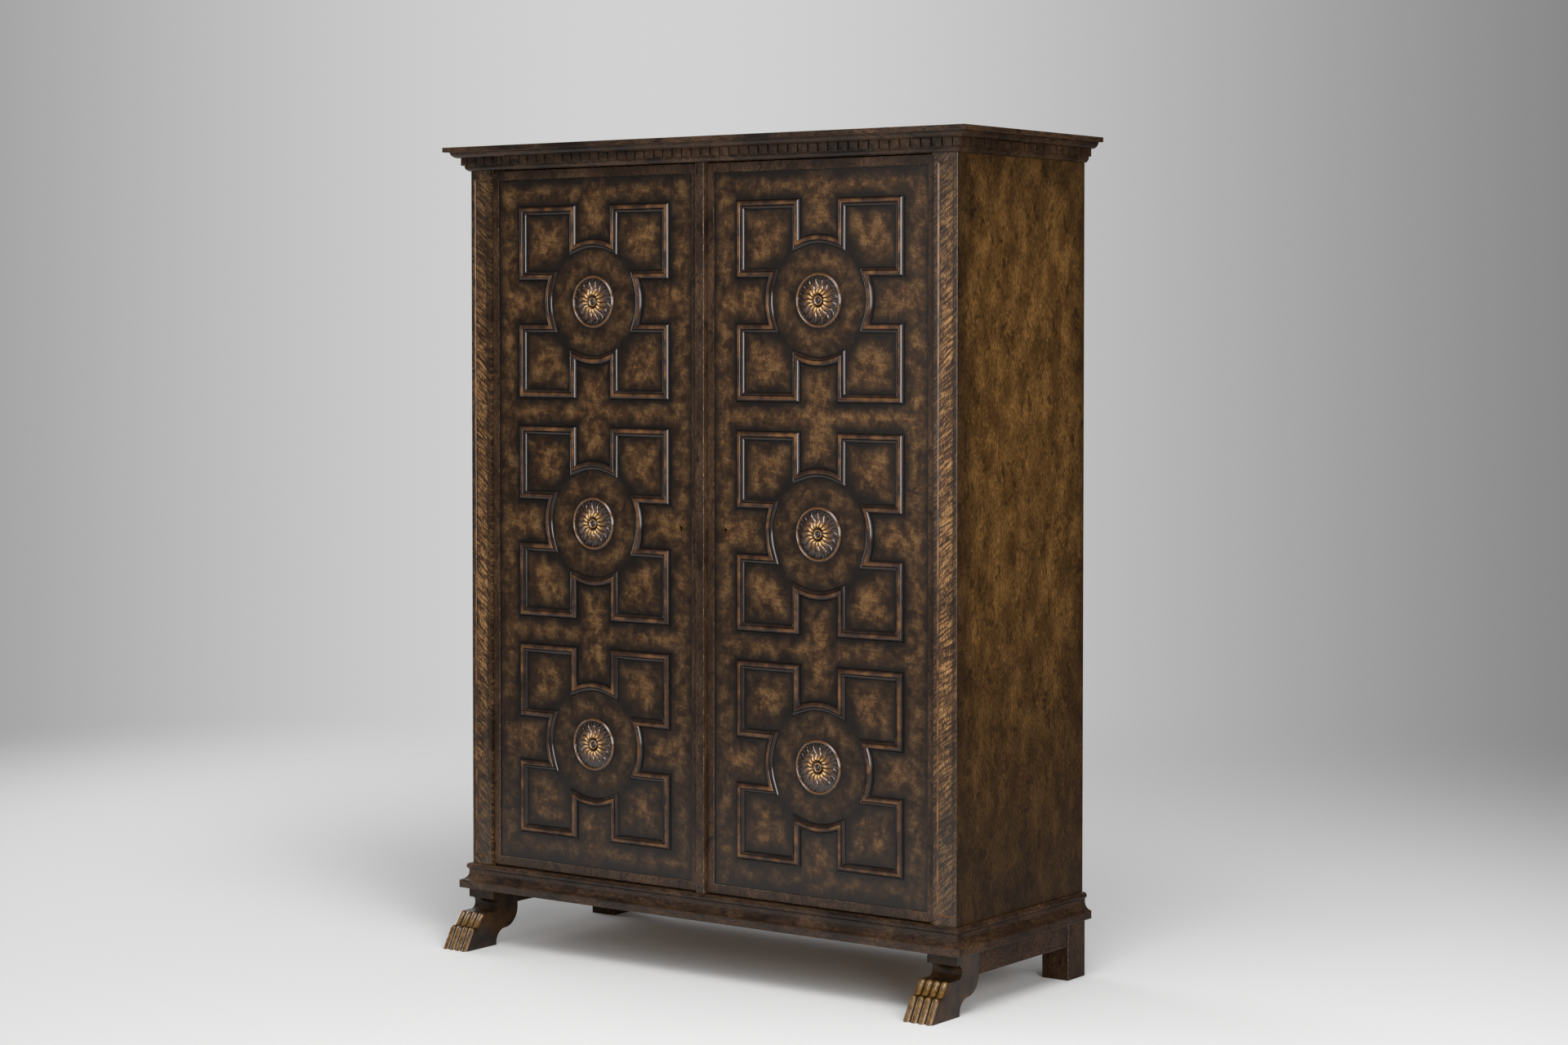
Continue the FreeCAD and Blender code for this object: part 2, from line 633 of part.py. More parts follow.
def figure_moulding():
    """The applied moulding as one solid ring, mitred at every corner."""
    wires = [figure_wire(inset, height) for inset, height in mould_profile()]
    faces = Part.Face(wires[0]).cut(Part.Face(wires[-1])).Faces
    for outer, inner in zip(wires, wires[1:]):
        faces += Part.makeRuledSurface(outer, inner).Faces
    shell = Part.makeShell(faces)
    shell.sewShape()
    solid = Part.makeSolid(shell)
    if solid.Volume < 0:
        solid.reverse()
    return solid


def rosette_body(name):
    """A turned rosette: a ring, a carved dish and a boss. X is towards the front, negative."""
    inner = "rosette_round - rosette_ring"
    steps = [("0", "0"),
             ("-boss_height", "0"),
             ("-dish_floor", "boss_round", "boss_round", "left"),
             ("-petal_height", inner + " - quirk_width", "dish_round", "right"),
             ("-dish_floor", inner),
             ("-ring_edge", "rosette_round", "ring_round", "right"),
             ("0", "rosette_round")]
    body = doc.addObject("PartDesign::Body", name)
    spin = body.newObject("PartDesign::Revolution", name + "_turned")
    sketch = outline(body, "YZ_Plane", steps)
    spin.Profile = sketch
    spin.ReferenceAxis = (sketch, ["H_Axis"])
    spin.Angle = FULL_TURN
    body.Tip = spin
    return body


def keyhole(name, shrink, front, rear):
    """A round over a straight foot, as the liner's outside or its bore."""
    tube = doc.addObject("Part::Cylinder", name + "_round")
    bind(tube, "Radius", "liner_round - " + shrink)
    bind(tube, "Height", "(%s) - (%s)" % (rear, front))
    tube.Placement = Placement(Vector(), Rotation(AXIS_X, -QUARTER))
    place(tube, key_x, front, door_middle_z)
    foot = board(name + "_foot", (key_x + " - liner_foot / 2 + " + shrink,
                                  key_x + " + liner_foot / 2 - " + shrink),
                 (front, rear), (door_middle_z + " - liner_drop + " + shrink, door_middle_z))
    return fuse(name, [tube, foot])


def door():
    """A panel with a border, three moulded figures with rosettes, and a lined keyhole."""
    across, high = (door_start, door_end), (door_foot, door_head)
    liner_front, liner_back = panel_face + " - liner_proud", panel_face + " + liner_depth"
    mortises = []
    for end, low, top in (("upper", door_head + " - pivot_plate", door_head),
                          ("lower", door_foot, door_foot + " + pivot_plate")):
        mortises.append(fuse("left_%s_mortise" % end, pivot_leaf_boxes("left_%s_mortise" % end, low, top)))
    slab = board("left_door_slab", across, (panel_face, panel_back), high)
    lined = keyhole("left_key_seat", "0", panel_face, liner_back)
    through = keyhole("left_key_way", "liner_wall", panel_face, panel_back)
    pair(cut("left_door_cut", slab, mortises + [lined, through]), "left_door_panel")
    rim = board("left_border_slab", across, (door_face, panel_face), high)
    field = board("left_border_field",
                  (door_start + " + border_side", door_end + " - border_side"),
                  (door_face, panel_face), (door_foot + " + border_end", door_head + " - border_end"))
    pair(cut("left_border_cut", rim, mortises + [field]), "left_door_border")
    shape = figure_moulding()
    for storey, steps_up in STOREYS:
        level = "%s + %s * %d" % (door_middle_z, figure_pitch, steps_up)
        figure = doc.addObject("Part::Feature", "left_%s_figure" % storey)
        figure.Shape = shape
        figure.Placement = Placement(Vector(measure(door_middle_x), 0, measure(level)), Rotation())
        pair(figure, "left_%s_moulding" % storey)
        rosette = place(rosette_body("left_%s_turning" % storey), door_middle_x, panel_face, level)
        pair(rosette, "left_%s_rosette" % storey)
    outside = keyhole("left_liner_outside", "0", liner_front, liner_back)
    bore = keyhole("left_liner_bore", "liner_wall", liner_front, liner_back)
    pair(cut("left_liner", outside, [bore]), "left_keyhole_liner")


# Locks

lock_end = "(%s - lock_setback)" % door_end
bolt_front = "(%s + lock_wall)" % panel_back
bolt_back = "(%s + lock_depth - lock_wall)" % panel_back


def locks():
    """A lock case behind each door's meeting edge, with a bolt that slides out into the post."""
    case = board("left_lock_block", (lock_end + " - lock_length", lock_end),
                 (panel_back, panel_back + " + lock_depth"),
                 (door_middle_z + " - lock_height / 2", door_middle_z + " + lock_height / 2"))
    chamber = board("left_lock_chamber",
                    (lock_end + " - bolt_length - bolt_clearance", lock_end),
                    (bolt_front + " - bolt_clearance", bolt_back + " + bolt_clearance"),
                    (door_middle_z + " - bolt_height / 2 - bolt_clearance",
                     door_middle_z + " + bolt_height / 2 + bolt_clearance"))
    pair(cut("left_lock", case, [chamber]), "left_lock_case")
    pair(board("left_bolt", (lock_end + " - bolt_length", lock_end), (bolt_front, bolt_back),
               (door_middle_z + " - bolt_height / 2", door_middle_z + " + bolt_height / 2")),
         "left_lock_bolt")


def bolt_hole(name, depth, margin):
    """A hole in the post's left face that is larger than the bolt by a margin all round."""
    return board(name, ("-post_width / 2", "-post_width / 2 + %s" % depth),
                 ("%s - %s" % (bolt_front, margin), "%s + %s" % (bolt_back, margin)),
                 ("%s - bolt_height / 2 - %s" % (door_middle_z, margin),
                  "%s + bolt_height / 2 + %s" % (door_middle_z, margin)))


def post():
    """The middle post, let in on both faces for the strike plates and the bolts."""
    block = board("post_block", ("-post_width / 2", "post_width / 2"),
                  (face + " - post_proud", rail_back), (sill, head))
    thrown = "bolt_travel - lock_setback - door_gap + strike_room"
    hole = bolt_hole("left_bolt_hole", thrown, "strike_clearance")
    seat = bolt_hole("left_strike_seat", "strike_board", "strike_rim")
    tools = [hole, seat]
    tools += [mirror(tool, tool.Name + "_twin") for tool in tools]
    keep(cut("post_cut", block, tools), "centre_post")
    plate = cut("left_strike", bolt_hole("left_strike_blank", "strike_board", "strike_rim"),
                [bolt_hole("left_strike_hole", "strike_board", "strike_clearance")])
    keep(group("both_strikes", [plate, mirror(plate, "right_strike")]), "strike_plates")


case_boards()
pilasters()
rails(pivots())
mouldings()
paw_feet()
rear_legs_and_aprons()
shelves()
door()
locks()
post()
doc.recompute()

for item in doc.Objects:
    if "Invalid" in item.State or "Error" in item.State:
        raise RuntimeError("%s failed: %s" % (item.Label, item.State))
for piece in pieces:
    if piece.Shape.isNull() or not piece.Shape.isValid() or not piece.Shape.Solids:
        raise RuntimeError("%s has no sound shape" % piece.Label)

os.makedirs("parts", exist_ok=True)
for piece in pieces:
    piece.Shape.exportStep("parts/%s.step" % piece.Label)
    print("%-24s %2d solids %12.0f mm3" % (piece.Label, len(piece.Shape.Solids), piece.Shape.Volume))
print(len(pieces), "sub-parts")
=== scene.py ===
import json
import math

import bmesh
import bpy
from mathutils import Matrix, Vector


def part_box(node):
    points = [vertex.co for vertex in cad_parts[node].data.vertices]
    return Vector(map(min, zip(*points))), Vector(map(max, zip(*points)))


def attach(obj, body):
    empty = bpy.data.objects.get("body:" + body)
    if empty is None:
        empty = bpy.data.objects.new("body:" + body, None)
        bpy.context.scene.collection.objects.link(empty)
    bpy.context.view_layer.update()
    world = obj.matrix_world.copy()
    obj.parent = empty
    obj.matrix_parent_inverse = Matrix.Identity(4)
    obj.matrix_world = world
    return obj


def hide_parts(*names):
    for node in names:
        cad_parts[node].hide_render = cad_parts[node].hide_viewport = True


# Linen press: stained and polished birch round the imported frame.
# Everything is in metres, the doors face -Y and the floor is at Z = 0.

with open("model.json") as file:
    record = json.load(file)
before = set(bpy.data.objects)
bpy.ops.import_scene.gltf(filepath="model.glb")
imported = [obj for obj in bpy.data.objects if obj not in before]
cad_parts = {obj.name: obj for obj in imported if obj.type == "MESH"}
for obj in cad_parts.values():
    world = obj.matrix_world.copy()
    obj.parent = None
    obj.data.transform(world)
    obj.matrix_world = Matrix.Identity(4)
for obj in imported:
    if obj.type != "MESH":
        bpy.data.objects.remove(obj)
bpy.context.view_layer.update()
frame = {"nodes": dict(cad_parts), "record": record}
nodes = frame["nodes"]
bodyOf = {node: body for body, members in frame["record"]["behaviour"]["bodies"].items() for node in members}
sides = ("left", "right")
storeys = ("upper", "middle", "lower")
print("frame:", len(nodes), "nodes")


# Small tools

def linear(hexCode):
    channels = [int(hexCode[start:start + 2], 16) / 255 for start in (1, 3, 5)]
    return [c / 12.92 if c <= 0.04045 else ((c + 0.055) / 1.055) ** 2.4 for c in channels] + [1.0]


def addNode(tree, kind, *inputs, sockets=None, **settings):
    # inputs fill the node's sockets in order, and sockets names others by name or number
    node = tree.nodes.new("ShaderNode" + kind)
    for name, value in settings.items():
        setattr(node, name, value)
    for key, source in list(enumerate(inputs)) + list((sockets or {}).items()):
        if isinstance(source, bpy.types.Node):
            source = source.outputs[0]
        if isinstance(source, bpy.types.NodeSocket):
            tree.links.new(source, node.inputs[key])
        else:
            node.inputs[key].default_value = source
    return node


def newMaterial(name):
    material = bpy.data.materials.new(name)
    material.use_nodes = True
    material.node_tree.nodes.clear()
    tree = material.node_tree
    place = addNode(tree, "TexCoord").outputs["Object"]
    return material, tree, place


def paint(node, material):
    held = nodes[node].data.materials
    held.clear()
    held.append(material)


def keepPiece(name, mesh, material, body, slotName, *replaced):
    piece = bpy.data.objects.new(name, mesh)
    bpy.context.scene.collection.objects.link(piece)
    mesh.materials.clear()
    mesh.materials.append(material)
    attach(piece, body)
    if replaced:
        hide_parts(*replaced)
    return piece


def meshFrom(shape, name, sharpAngle):
    mesh = bpy.data.meshes.new(name)
    shape.to_mesh(mesh)
    shape.free()
    mesh.shade_smooth()
    mesh.set_sharp_from_angle(angle=math.radians(sharpAngle))
    return mesh


# Camera at the photograph's angle

camera = {
    "place": (4.0405, -5.4328, 1.3935),
    "turn": 36.12,         # degrees to the left of +Y
    "down": 1.78,
    "lens": 71.05,
    "shift": -0.0625,      # the cabinet stands a little high in the frame
}


def placeCamera():
    data = bpy.data.cameras.new("camera")
    data.lens = camera["lens"]
    data.shift_y = camera["shift"]
    eye = bpy.data.objects.new("camera", data)
    bpy.context.scene.collection.objects.link(eye)
    eye.location = camera["place"]
    turn = math.radians(camera["turn"])
    down = math.radians(camera["down"])
    gaze = Vector((-math.sin(turn) * math.cos(down), math.cos(turn) * math.cos(down), -math.sin(down)))
    eye.rotation_mode = "QUATERNION"
    eye.rotation_quaternion = gaze.to_track_quat("-Z", "Y")
    bpy.context.scene.camera = eye


placeCamera()
bpy.context.scene.view_settings.view_transform = "Standard"


# Studio: a pale floor in a dim room. The tall soft boxes at the sides draw a line of light along each
# upright slope, the front one puts a faint haze on the doors and the one overhead lights the floor.

studio = {
    "floor": "#d2d2d2",
    "floorRadius": 40,
    "floorSides": 96,
    "dim": 0.30,           # what the room itself adds to the light on the object
    "glow": (-0.6225, 0.7826, 0),   # where the light patch on the backdrop lies
    "peak": 0.64,          # the backdrop in the middle of that patch
    "edge": 0.10,          # and far from it
    "spread": 31,          # how fast the patch falls off to its sides
    "near": 1.5,           # metres from the cabinet where the paper starts to fade into the backdrop
    "far": 4.8,            # and where it is gone
    "boxes": [
        # name, place, aims at, width, height, power in watts
        ("rightBox", (4.6, -3.3, 1.9), (0.3, 0, 0.9), 1.7, 2.7, 190),
        ("sideBox", (5.6, -1.1, 1.9), (0.3, 0, 0.9), 2.8, 2.7, 75),
        ("leftBox", (-5.0, 0.8, 1.7), (-0.2, 0, 0.9), 3.8, 2.6, 140),
        ("frontBox", (-1.9, -5.4, 1.9), (0.2, 0, 1.0), 2.0, 3.0, 15),
        ("topBox", (1.6, -2.0, 4.6), (0, 0, 0.6), 3.0, 3.0, 190),
    ],
}


def lightStudio():
    for name, place, aim, width, height, power in studio["boxes"]:
        lamp = bpy.data.lights.new(name, "AREA")
        lamp.shape = "RECTANGLE"
        lamp.size = width
        lamp.size_y = height
        lamp.energy = power
        box = bpy.data.objects.new(name, lamp)
        box.location = place
        box.rotation_mode = "QUATERNION"
        box.rotation_quaternion = (Vector(aim) - Vector(place)).to_track_quat("-Z", "Y")
        bpy.context.scene.collection.objects.link(box)
    world = bpy.data.worlds.new("room")
    bpy.context.scene.world = world
    world.use_nodes = True
    tree = world.node_tree
    tree.nodes.clear()
    heading = addNode(tree, "TexCoord").outputs["Generated"]
    level = addNode(tree, "VectorMath", heading, (1, 1, 0), operation="MULTIPLY")
    level = addNode(tree, "VectorMath", level, operation="NORMALIZE")
    toward = addNode(tree, "VectorMath", level, studio["glow"], operation="DOT_PRODUCT").outputs["Value"]
    fall = addNode(tree, "Math", toward, studio["spread"], -studio["spread"], operation="MULTIPLY_ADD")
    patch = addNode(tree, "Math", fall, operation="EXPONENT")
    backdrop = addNode(tree, "MapRange", patch, 0, 1, studio["edge"], studio["peak"])
    rays = addNode(tree, "LightPath").outputs
    seen = addNode(tree, "Math", rays["Is Camera Ray"], rays["Is Glossy Ray"], operation="ADD")
    seen = addNode(tree, "Math", seen, rays["Is Transmission Ray"], operation="ADD", use_clamp=True)
    shown = addNode(tree, "Mix", sockets={0: seen, 2: studio["dim"], 3: backdrop})
    addNode(tree, "OutputWorld", addNode(tree, "Background", (1, 1, 1, 1), shown))


def layFloor():
    shape = bmesh.new()
    bmesh.ops.create_circle(shape, cap_ends=True, segments=studio["floorSides"], radius=studio["floorRadius"])
    floor = bpy.data.objects.new("floor", meshFrom(shape, "floor", sharpAngle=30))
    bpy.context.scene.collection.objects.link(floor)
    # matt paper gives no highlight, and far off it fades into the backdrop
    material, tree, place = newMaterial("matt paper floor")
    reach = addNode(tree, "VectorMath", place, operation="LENGTH").outputs["Value"]
    far = addNode(tree, "MapRange", reach, studio["near"], studio["far"], interpolation_type="SMOOTHSTEP")
    rays = addNode(tree, "LightPath").outputs
    seen = addNode(tree, "Math", rays["Is Camera Ray"], rays["Is Glossy Ray"], operation="ADD",
                   use_clamp=True)
    fade = addNode(tree, "Math", far, seen, operation="MULTIPLY")
    paper = addNode(tree, "BsdfDiffuse", linear(studio["floor"]))
    clear = addNode(tree, "BsdfTransparent", (1, 1, 1, 1))
    addNode(tree, "OutputMaterial", addNode(tree, "MixShader", fade, paper, clear))
    floor.data.materials.append(material)


lightStudio()
layFloor()
print("camera, lamps and floor are set")


# Where the stain is rubbed back, from 0 at a dark edge to 1 in the open field; the fade towards the foot is
# partly painted shade. Each pair is a fade in metres: nothing is rubbed at its first value, and all at its
# second.

panelLow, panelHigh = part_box("right_door_panel")
figureLow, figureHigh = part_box("right_middle_moulding")
doorPlan = {
    "centre": (panelLow + panelHigh) / 2,
    "panel": panelHigh - panelLow,
    "low": panelLow.z,
    "face": panelLow.y,
    "figure": figureHigh.x - figureLow.x,
    "pitch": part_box("right_upper_moulding")[0].z - figureLow.z,
    "square": 0.167,       # a corner square of the figure, across
    "round": 0.1392,       # radius of the round in its middle
    "border": 0.018,       # width of the raised border
    "ring": 0.088,         # middle of the golden ring between the rosette and the moulding
    "ragged": 0.030,       # how far the rubbed edges wander
    "wander": 24,          # scale of that wander, some 40 mm from one swing to the next
    "squareFade": (-0.022, -0.066),   # outside the edge of a corner square, and below 0 inside it
    "roundFade": (-0.010, 0.034),     # outside the edge of the round
    "ringFade": (0.034, 0.006),       # off the middle of the golden ring
    "ringRub": 0.5,        # the ring is rubbed less than the squares
    "borderFade": (0.000, 0.038),     # off the raised border
    "figureFade": (0.002, 0.038),     # off the outside of the figure
    # the foot of the door is darker, partly a darker finish and partly painted shade where less light reaches
    # low down
    "footStainAndShade": 0.62,       # share of the rubbing that is left at the foot of the door
    "footReach": 0.1,      # it is full from here above the door's middle
    "skin": 0.0005,        # what lies deeper than this is an edge or the back
    "plainRub": 0.22,      # and is rubbed evenly, this much
}


def doorRubAndFootShade(tree, place):
    half = doorPlan["figure"] / 2
    exact = addNode(tree, "SeparateXYZ", place)
    wander = addNode(tree, "TexNoise", place,
                     sockets={"Scale": doorPlan["wander"], "Detail": 4, "Roughness": 0.6})
    centred = addNode(tree, "VectorMath", wander.outputs["Color"], (0.5, 0.5, 0.5), operation="SUBTRACT")
    strayed = addNode(tree, "VectorMath", centred, (doorPlan["ragged"],) * 3, place, operation="MULTIPLY_ADD")
    split = addNode(tree, "SeparateXYZ", strayed)
    mirrored = addNode(tree, "Math", split.outputs[0], operation="ABSOLUTE")
    offset = addNode(tree, "Math", mirrored, doorPlan["centre"].x, operation="SUBTRACT")
    across = addNode(tree, "Math", offset, operation="ABSOLUTE")
    height = addNode(tree, "Math", split.outputs[2], doorPlan["centre"].z, operation="SUBTRACT")
    up = addNode(tree, "Math", height, doorPlan["pitch"] / 2, operation="PINGPONG")
    # how far outside a corner square, and how far outside the round
    middle = half - doorPlan["square"] / 2
    leftOver, upOver = [addNode(tree, "Math", addNode(tree, "Math", way, middle, operation="SUBTRACT"),
                                operation="ABSOLUTE") for way in (across, up)]
    widest = addNode(tree, "Math", leftOver, upOver, operation="MAXIMUM")
    fromSquare = addNode(tree, "Math", widest, doorPlan["square"] / 2, operation="SUBTRACT")
    spot = addNode(tree, "CombineXYZ", across, up)
    radius = addNode(tree, "VectorMath", spot, operation="LENGTH").outputs["Value"]
    fromRound = addNode(tree, "Math", radius, doorPlan["round"], operation="SUBTRACT")
    fromFigure = addNode(tree, "Math", fromSquare, fromRound, operation="MINIMUM")
    # inside each square
    inSquare = addNode(tree, "MapRange", fromSquare, *doorPlan["squareFade"])
    offRound = addNode(tree, "MapRange", fromRound, *doorPlan["roundFade"])
    squares = addNode(tree, "Math", inSquare, offRound, operation="MULTIPLY")
    # round the rosette
    offRing = addNode(tree, "Math", addNode(tree, "Math", radius, doorPlan["ring"], operation="SUBTRACT"),
                      operation="ABSOLUTE")
    ring = addNode(tree, "MapRange", offRing, *doorPlan["ringFade"])
    ring = addNode(tree, "Math", ring, doorPlan["ringRub"], operation="MULTIPLY")
    # between the figures and the border
    inner = doorPlan["panel"] / 2 - Vector((doorPlan["border"],) * 3)
    leftGap = addNode(tree, "Math", inner.x, across, operation="SUBTRACT")
    endGap = addNode(tree, "Math", inner.z, addNode(tree, "Math", height, operation="ABSOLUTE"),
                     operation="SUBTRACT")
    gap = addNode(tree, "Math", leftGap, endGap, operation="MINIMUM")
    offBorder = addNode(tree, "MapRange", gap, *doorPlan["borderFade"])
    offFigure = addNode(tree, "MapRange", fromFigure, *doorPlan["figureFade"])
    outside = addNode(tree, "Math", offBorder, offFigure, operation="MULTIPLY")
    inside = addNode(tree, "Math", squares, ring, operation="MAXIMUM")
    front = addNode(tree, "Math", inside, outside, operation="MAXIMUM")
    # darker towards the foot, partly a darker finish and partly painted shade, and even on the edges and the
    # back
    foot = addNode(tree, "MapRange", exact.outputs[2], doorPlan["low"],
                   doorPlan["centre"].z + doorPlan["footReach"], doorPlan["footStainAndShade"], 1)
    front = addNode(tree, "Math", front, foot, operation="MULTIPLY")
    behind = addNode(tree, "Math", exact.outputs[1], doorPlan["face"] + doorPlan["skin"],
                     operation="GREATER_THAN")
    return addNode(tree, "Mix", sockets={0: behind, 2: front, 3: doorPlan["plainRub"]})


sideLow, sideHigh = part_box("right_side")
sidePlan = {
    "front": (sideLow.y - 0.045, sideLow.y + 0.06),
    "rear": (sideHigh.y + 0.04, sideHigh.y - 0.09),
    # the side darkens over its lowest metre, partly a darker finish and partly painted shade
    "foot": (sideLow.z - 0.05, sideLow.z + 1.0),
    "top": (sideHigh.z + 0.20, sideHigh.z - 0.30),
    "least": 0.22,         # rubbing left at the darkest edge
}


def sideRubAndFootShade(tree, place):
    split = addNode(tree, "SeparateXYZ", place)
    # the front, rear and top fades are the darker finish; the foot fade is partly that finish and partly
    # painted shade
    front, rear, foot, top = [
        addNode(tree, "MapRange", split.outputs[axis], *sidePlan[end], interpolation_type="SMOOTHSTEP")
        for axis, end in ((1, "front"), (1, "rear"), (2, "foot"), (2, "top"))
    ]
    across = addNode(tree, "Math", front, rear, operation="MULTIPLY")
    upright = addNode(tree, "Math", foot, top, operation="MULTIPLY")
    both = addNode(tree, "Math", across, upright, operation="MULTIPLY")
    return addNode(tree, "MapRange", both, 0, 1, sidePlan["least"], 1)


pilasterLow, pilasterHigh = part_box("right_pilaster")
pilasterPlan = {
    "middle": (pilasterLow.x + pilasterHigh.x) / 2,
    "width": (0.020, 0.009),          # off the middle of the sunk field
    "head": (pilasterHigh.z - 0.02, pilasterHigh.z - 0.60),
    "foot": (pilasterLow.z + 0.02, pilasterLow.z + 0.75),
    "endShare": 0.12,      # share of the rubbing that is left at both ends
    "least": 0.3,          # rubbing on the flats beside the field
    "most": 1.2,           # and in the middle of it
}


def pilasterGlow(tree, place):
    split = addNode(tree, "SeparateXYZ", place)
    mirrored = addNode(tree, "Math", split.outputs[0], operation="ABSOLUTE")
    offset = addNode(tree, "Math", mirrored, pilasterPlan["middle"], operation="SUBTRACT")
    off = addNode(tree, "Math", offset, operation="ABSOLUTE")
    middle = addNode(tree, "MapRange", off, *pilasterPlan["width"], interpolation_type="SMOOTHSTEP")
    head, foot = [
        addNode(tree, "MapRange", split.outputs[2], *pilasterPlan[end], interpolation_type="SMOOTHSTEP")
        for end in ("head", "foot")
    ]
    ends = addNode(tree, "Math", head, foot, operation="MULTIPLY")
    kept = addNode(tree, "MapRange", ends, 0, 1, pilasterPlan["endShare"], 1)
    middle = addNode(tree, "Math", middle, kept, operation="MULTIPLY")
    return addNode(tree, "MapRange", middle, 0, 1, pilasterPlan["least"], pilasterPlan["most"])


# Birch, stained dark and polished with shellac. The stain was rubbed back in the middle of each
# field, where the figure of the birch shows golden, and left near black along edges and mouldings.

birch = {
    # stain that was left on, in two depths
    "black": ("#0c0806", "#1a110b"),
    # tints of the rubbed wood, from its darkest figure to its lightest
    "side": ("#150d06", "#402b13", "#7a582e"),
    "door": ("#1b120b", "#4b311a", "#86663d"),
    "field": ("#190f08", "#4b3019", "#9b7547"),
    "dark": ("#1a110c", "#362519", "#5c442e"),
    "stops": (0.08, 0.5, 0.92),
    "smudge": 0.021,       # metres across a dark curl of the figure
    "smudgeLength": 1.9,   # and how much longer than wide it is
    "fleck": 0.0021,       # width of a fleck
    "fleckLength": 2.4,    # its length over its width, times the stretch of the clouds
    "ripple": 0.0034,      # height of one ripple of the flame on the pilasters
    "rippleWidth": 8,      # and how much wider than high it is
    "fibre": 0.0009,       # bundles of fibre, drawn coarser than real so that they show
    "fibreLength": 28,
    "drift": 0.03,         # how far the figure wanders off the straight grain
    "curls": (0.54, 0.68),     # only the highest swings of the curl noise turn dark
    "patches": (0.38, 0.62),   # middle of the cloud noise, where the stain turns from left to rubbed
    "patchSum": 1.85,      # rubbing of the darkest and the lightest clouds together
    "middle": 0.55,        # tone where every noise is at its middle
    "fleckSwing": 1.4,     # how far each noise would move the tone at a share of 1
    "fibreSwing": 0.3,
    "rippleSwing": 3.2,
    "pores": 0.00008,      # depth of the fibre under the polish
    "dulled": 0.10,        # how much rougher the light clouds are
    "coat": 0.4,           # weight of the shellac at a shine of 1, and its roughness
    "polish": 0.16,
    "turns": {"X": (0, math.pi / 2, 0), "Y": (math.pi / 2, 0, 0), "Z": (0, 0, 0)},
}


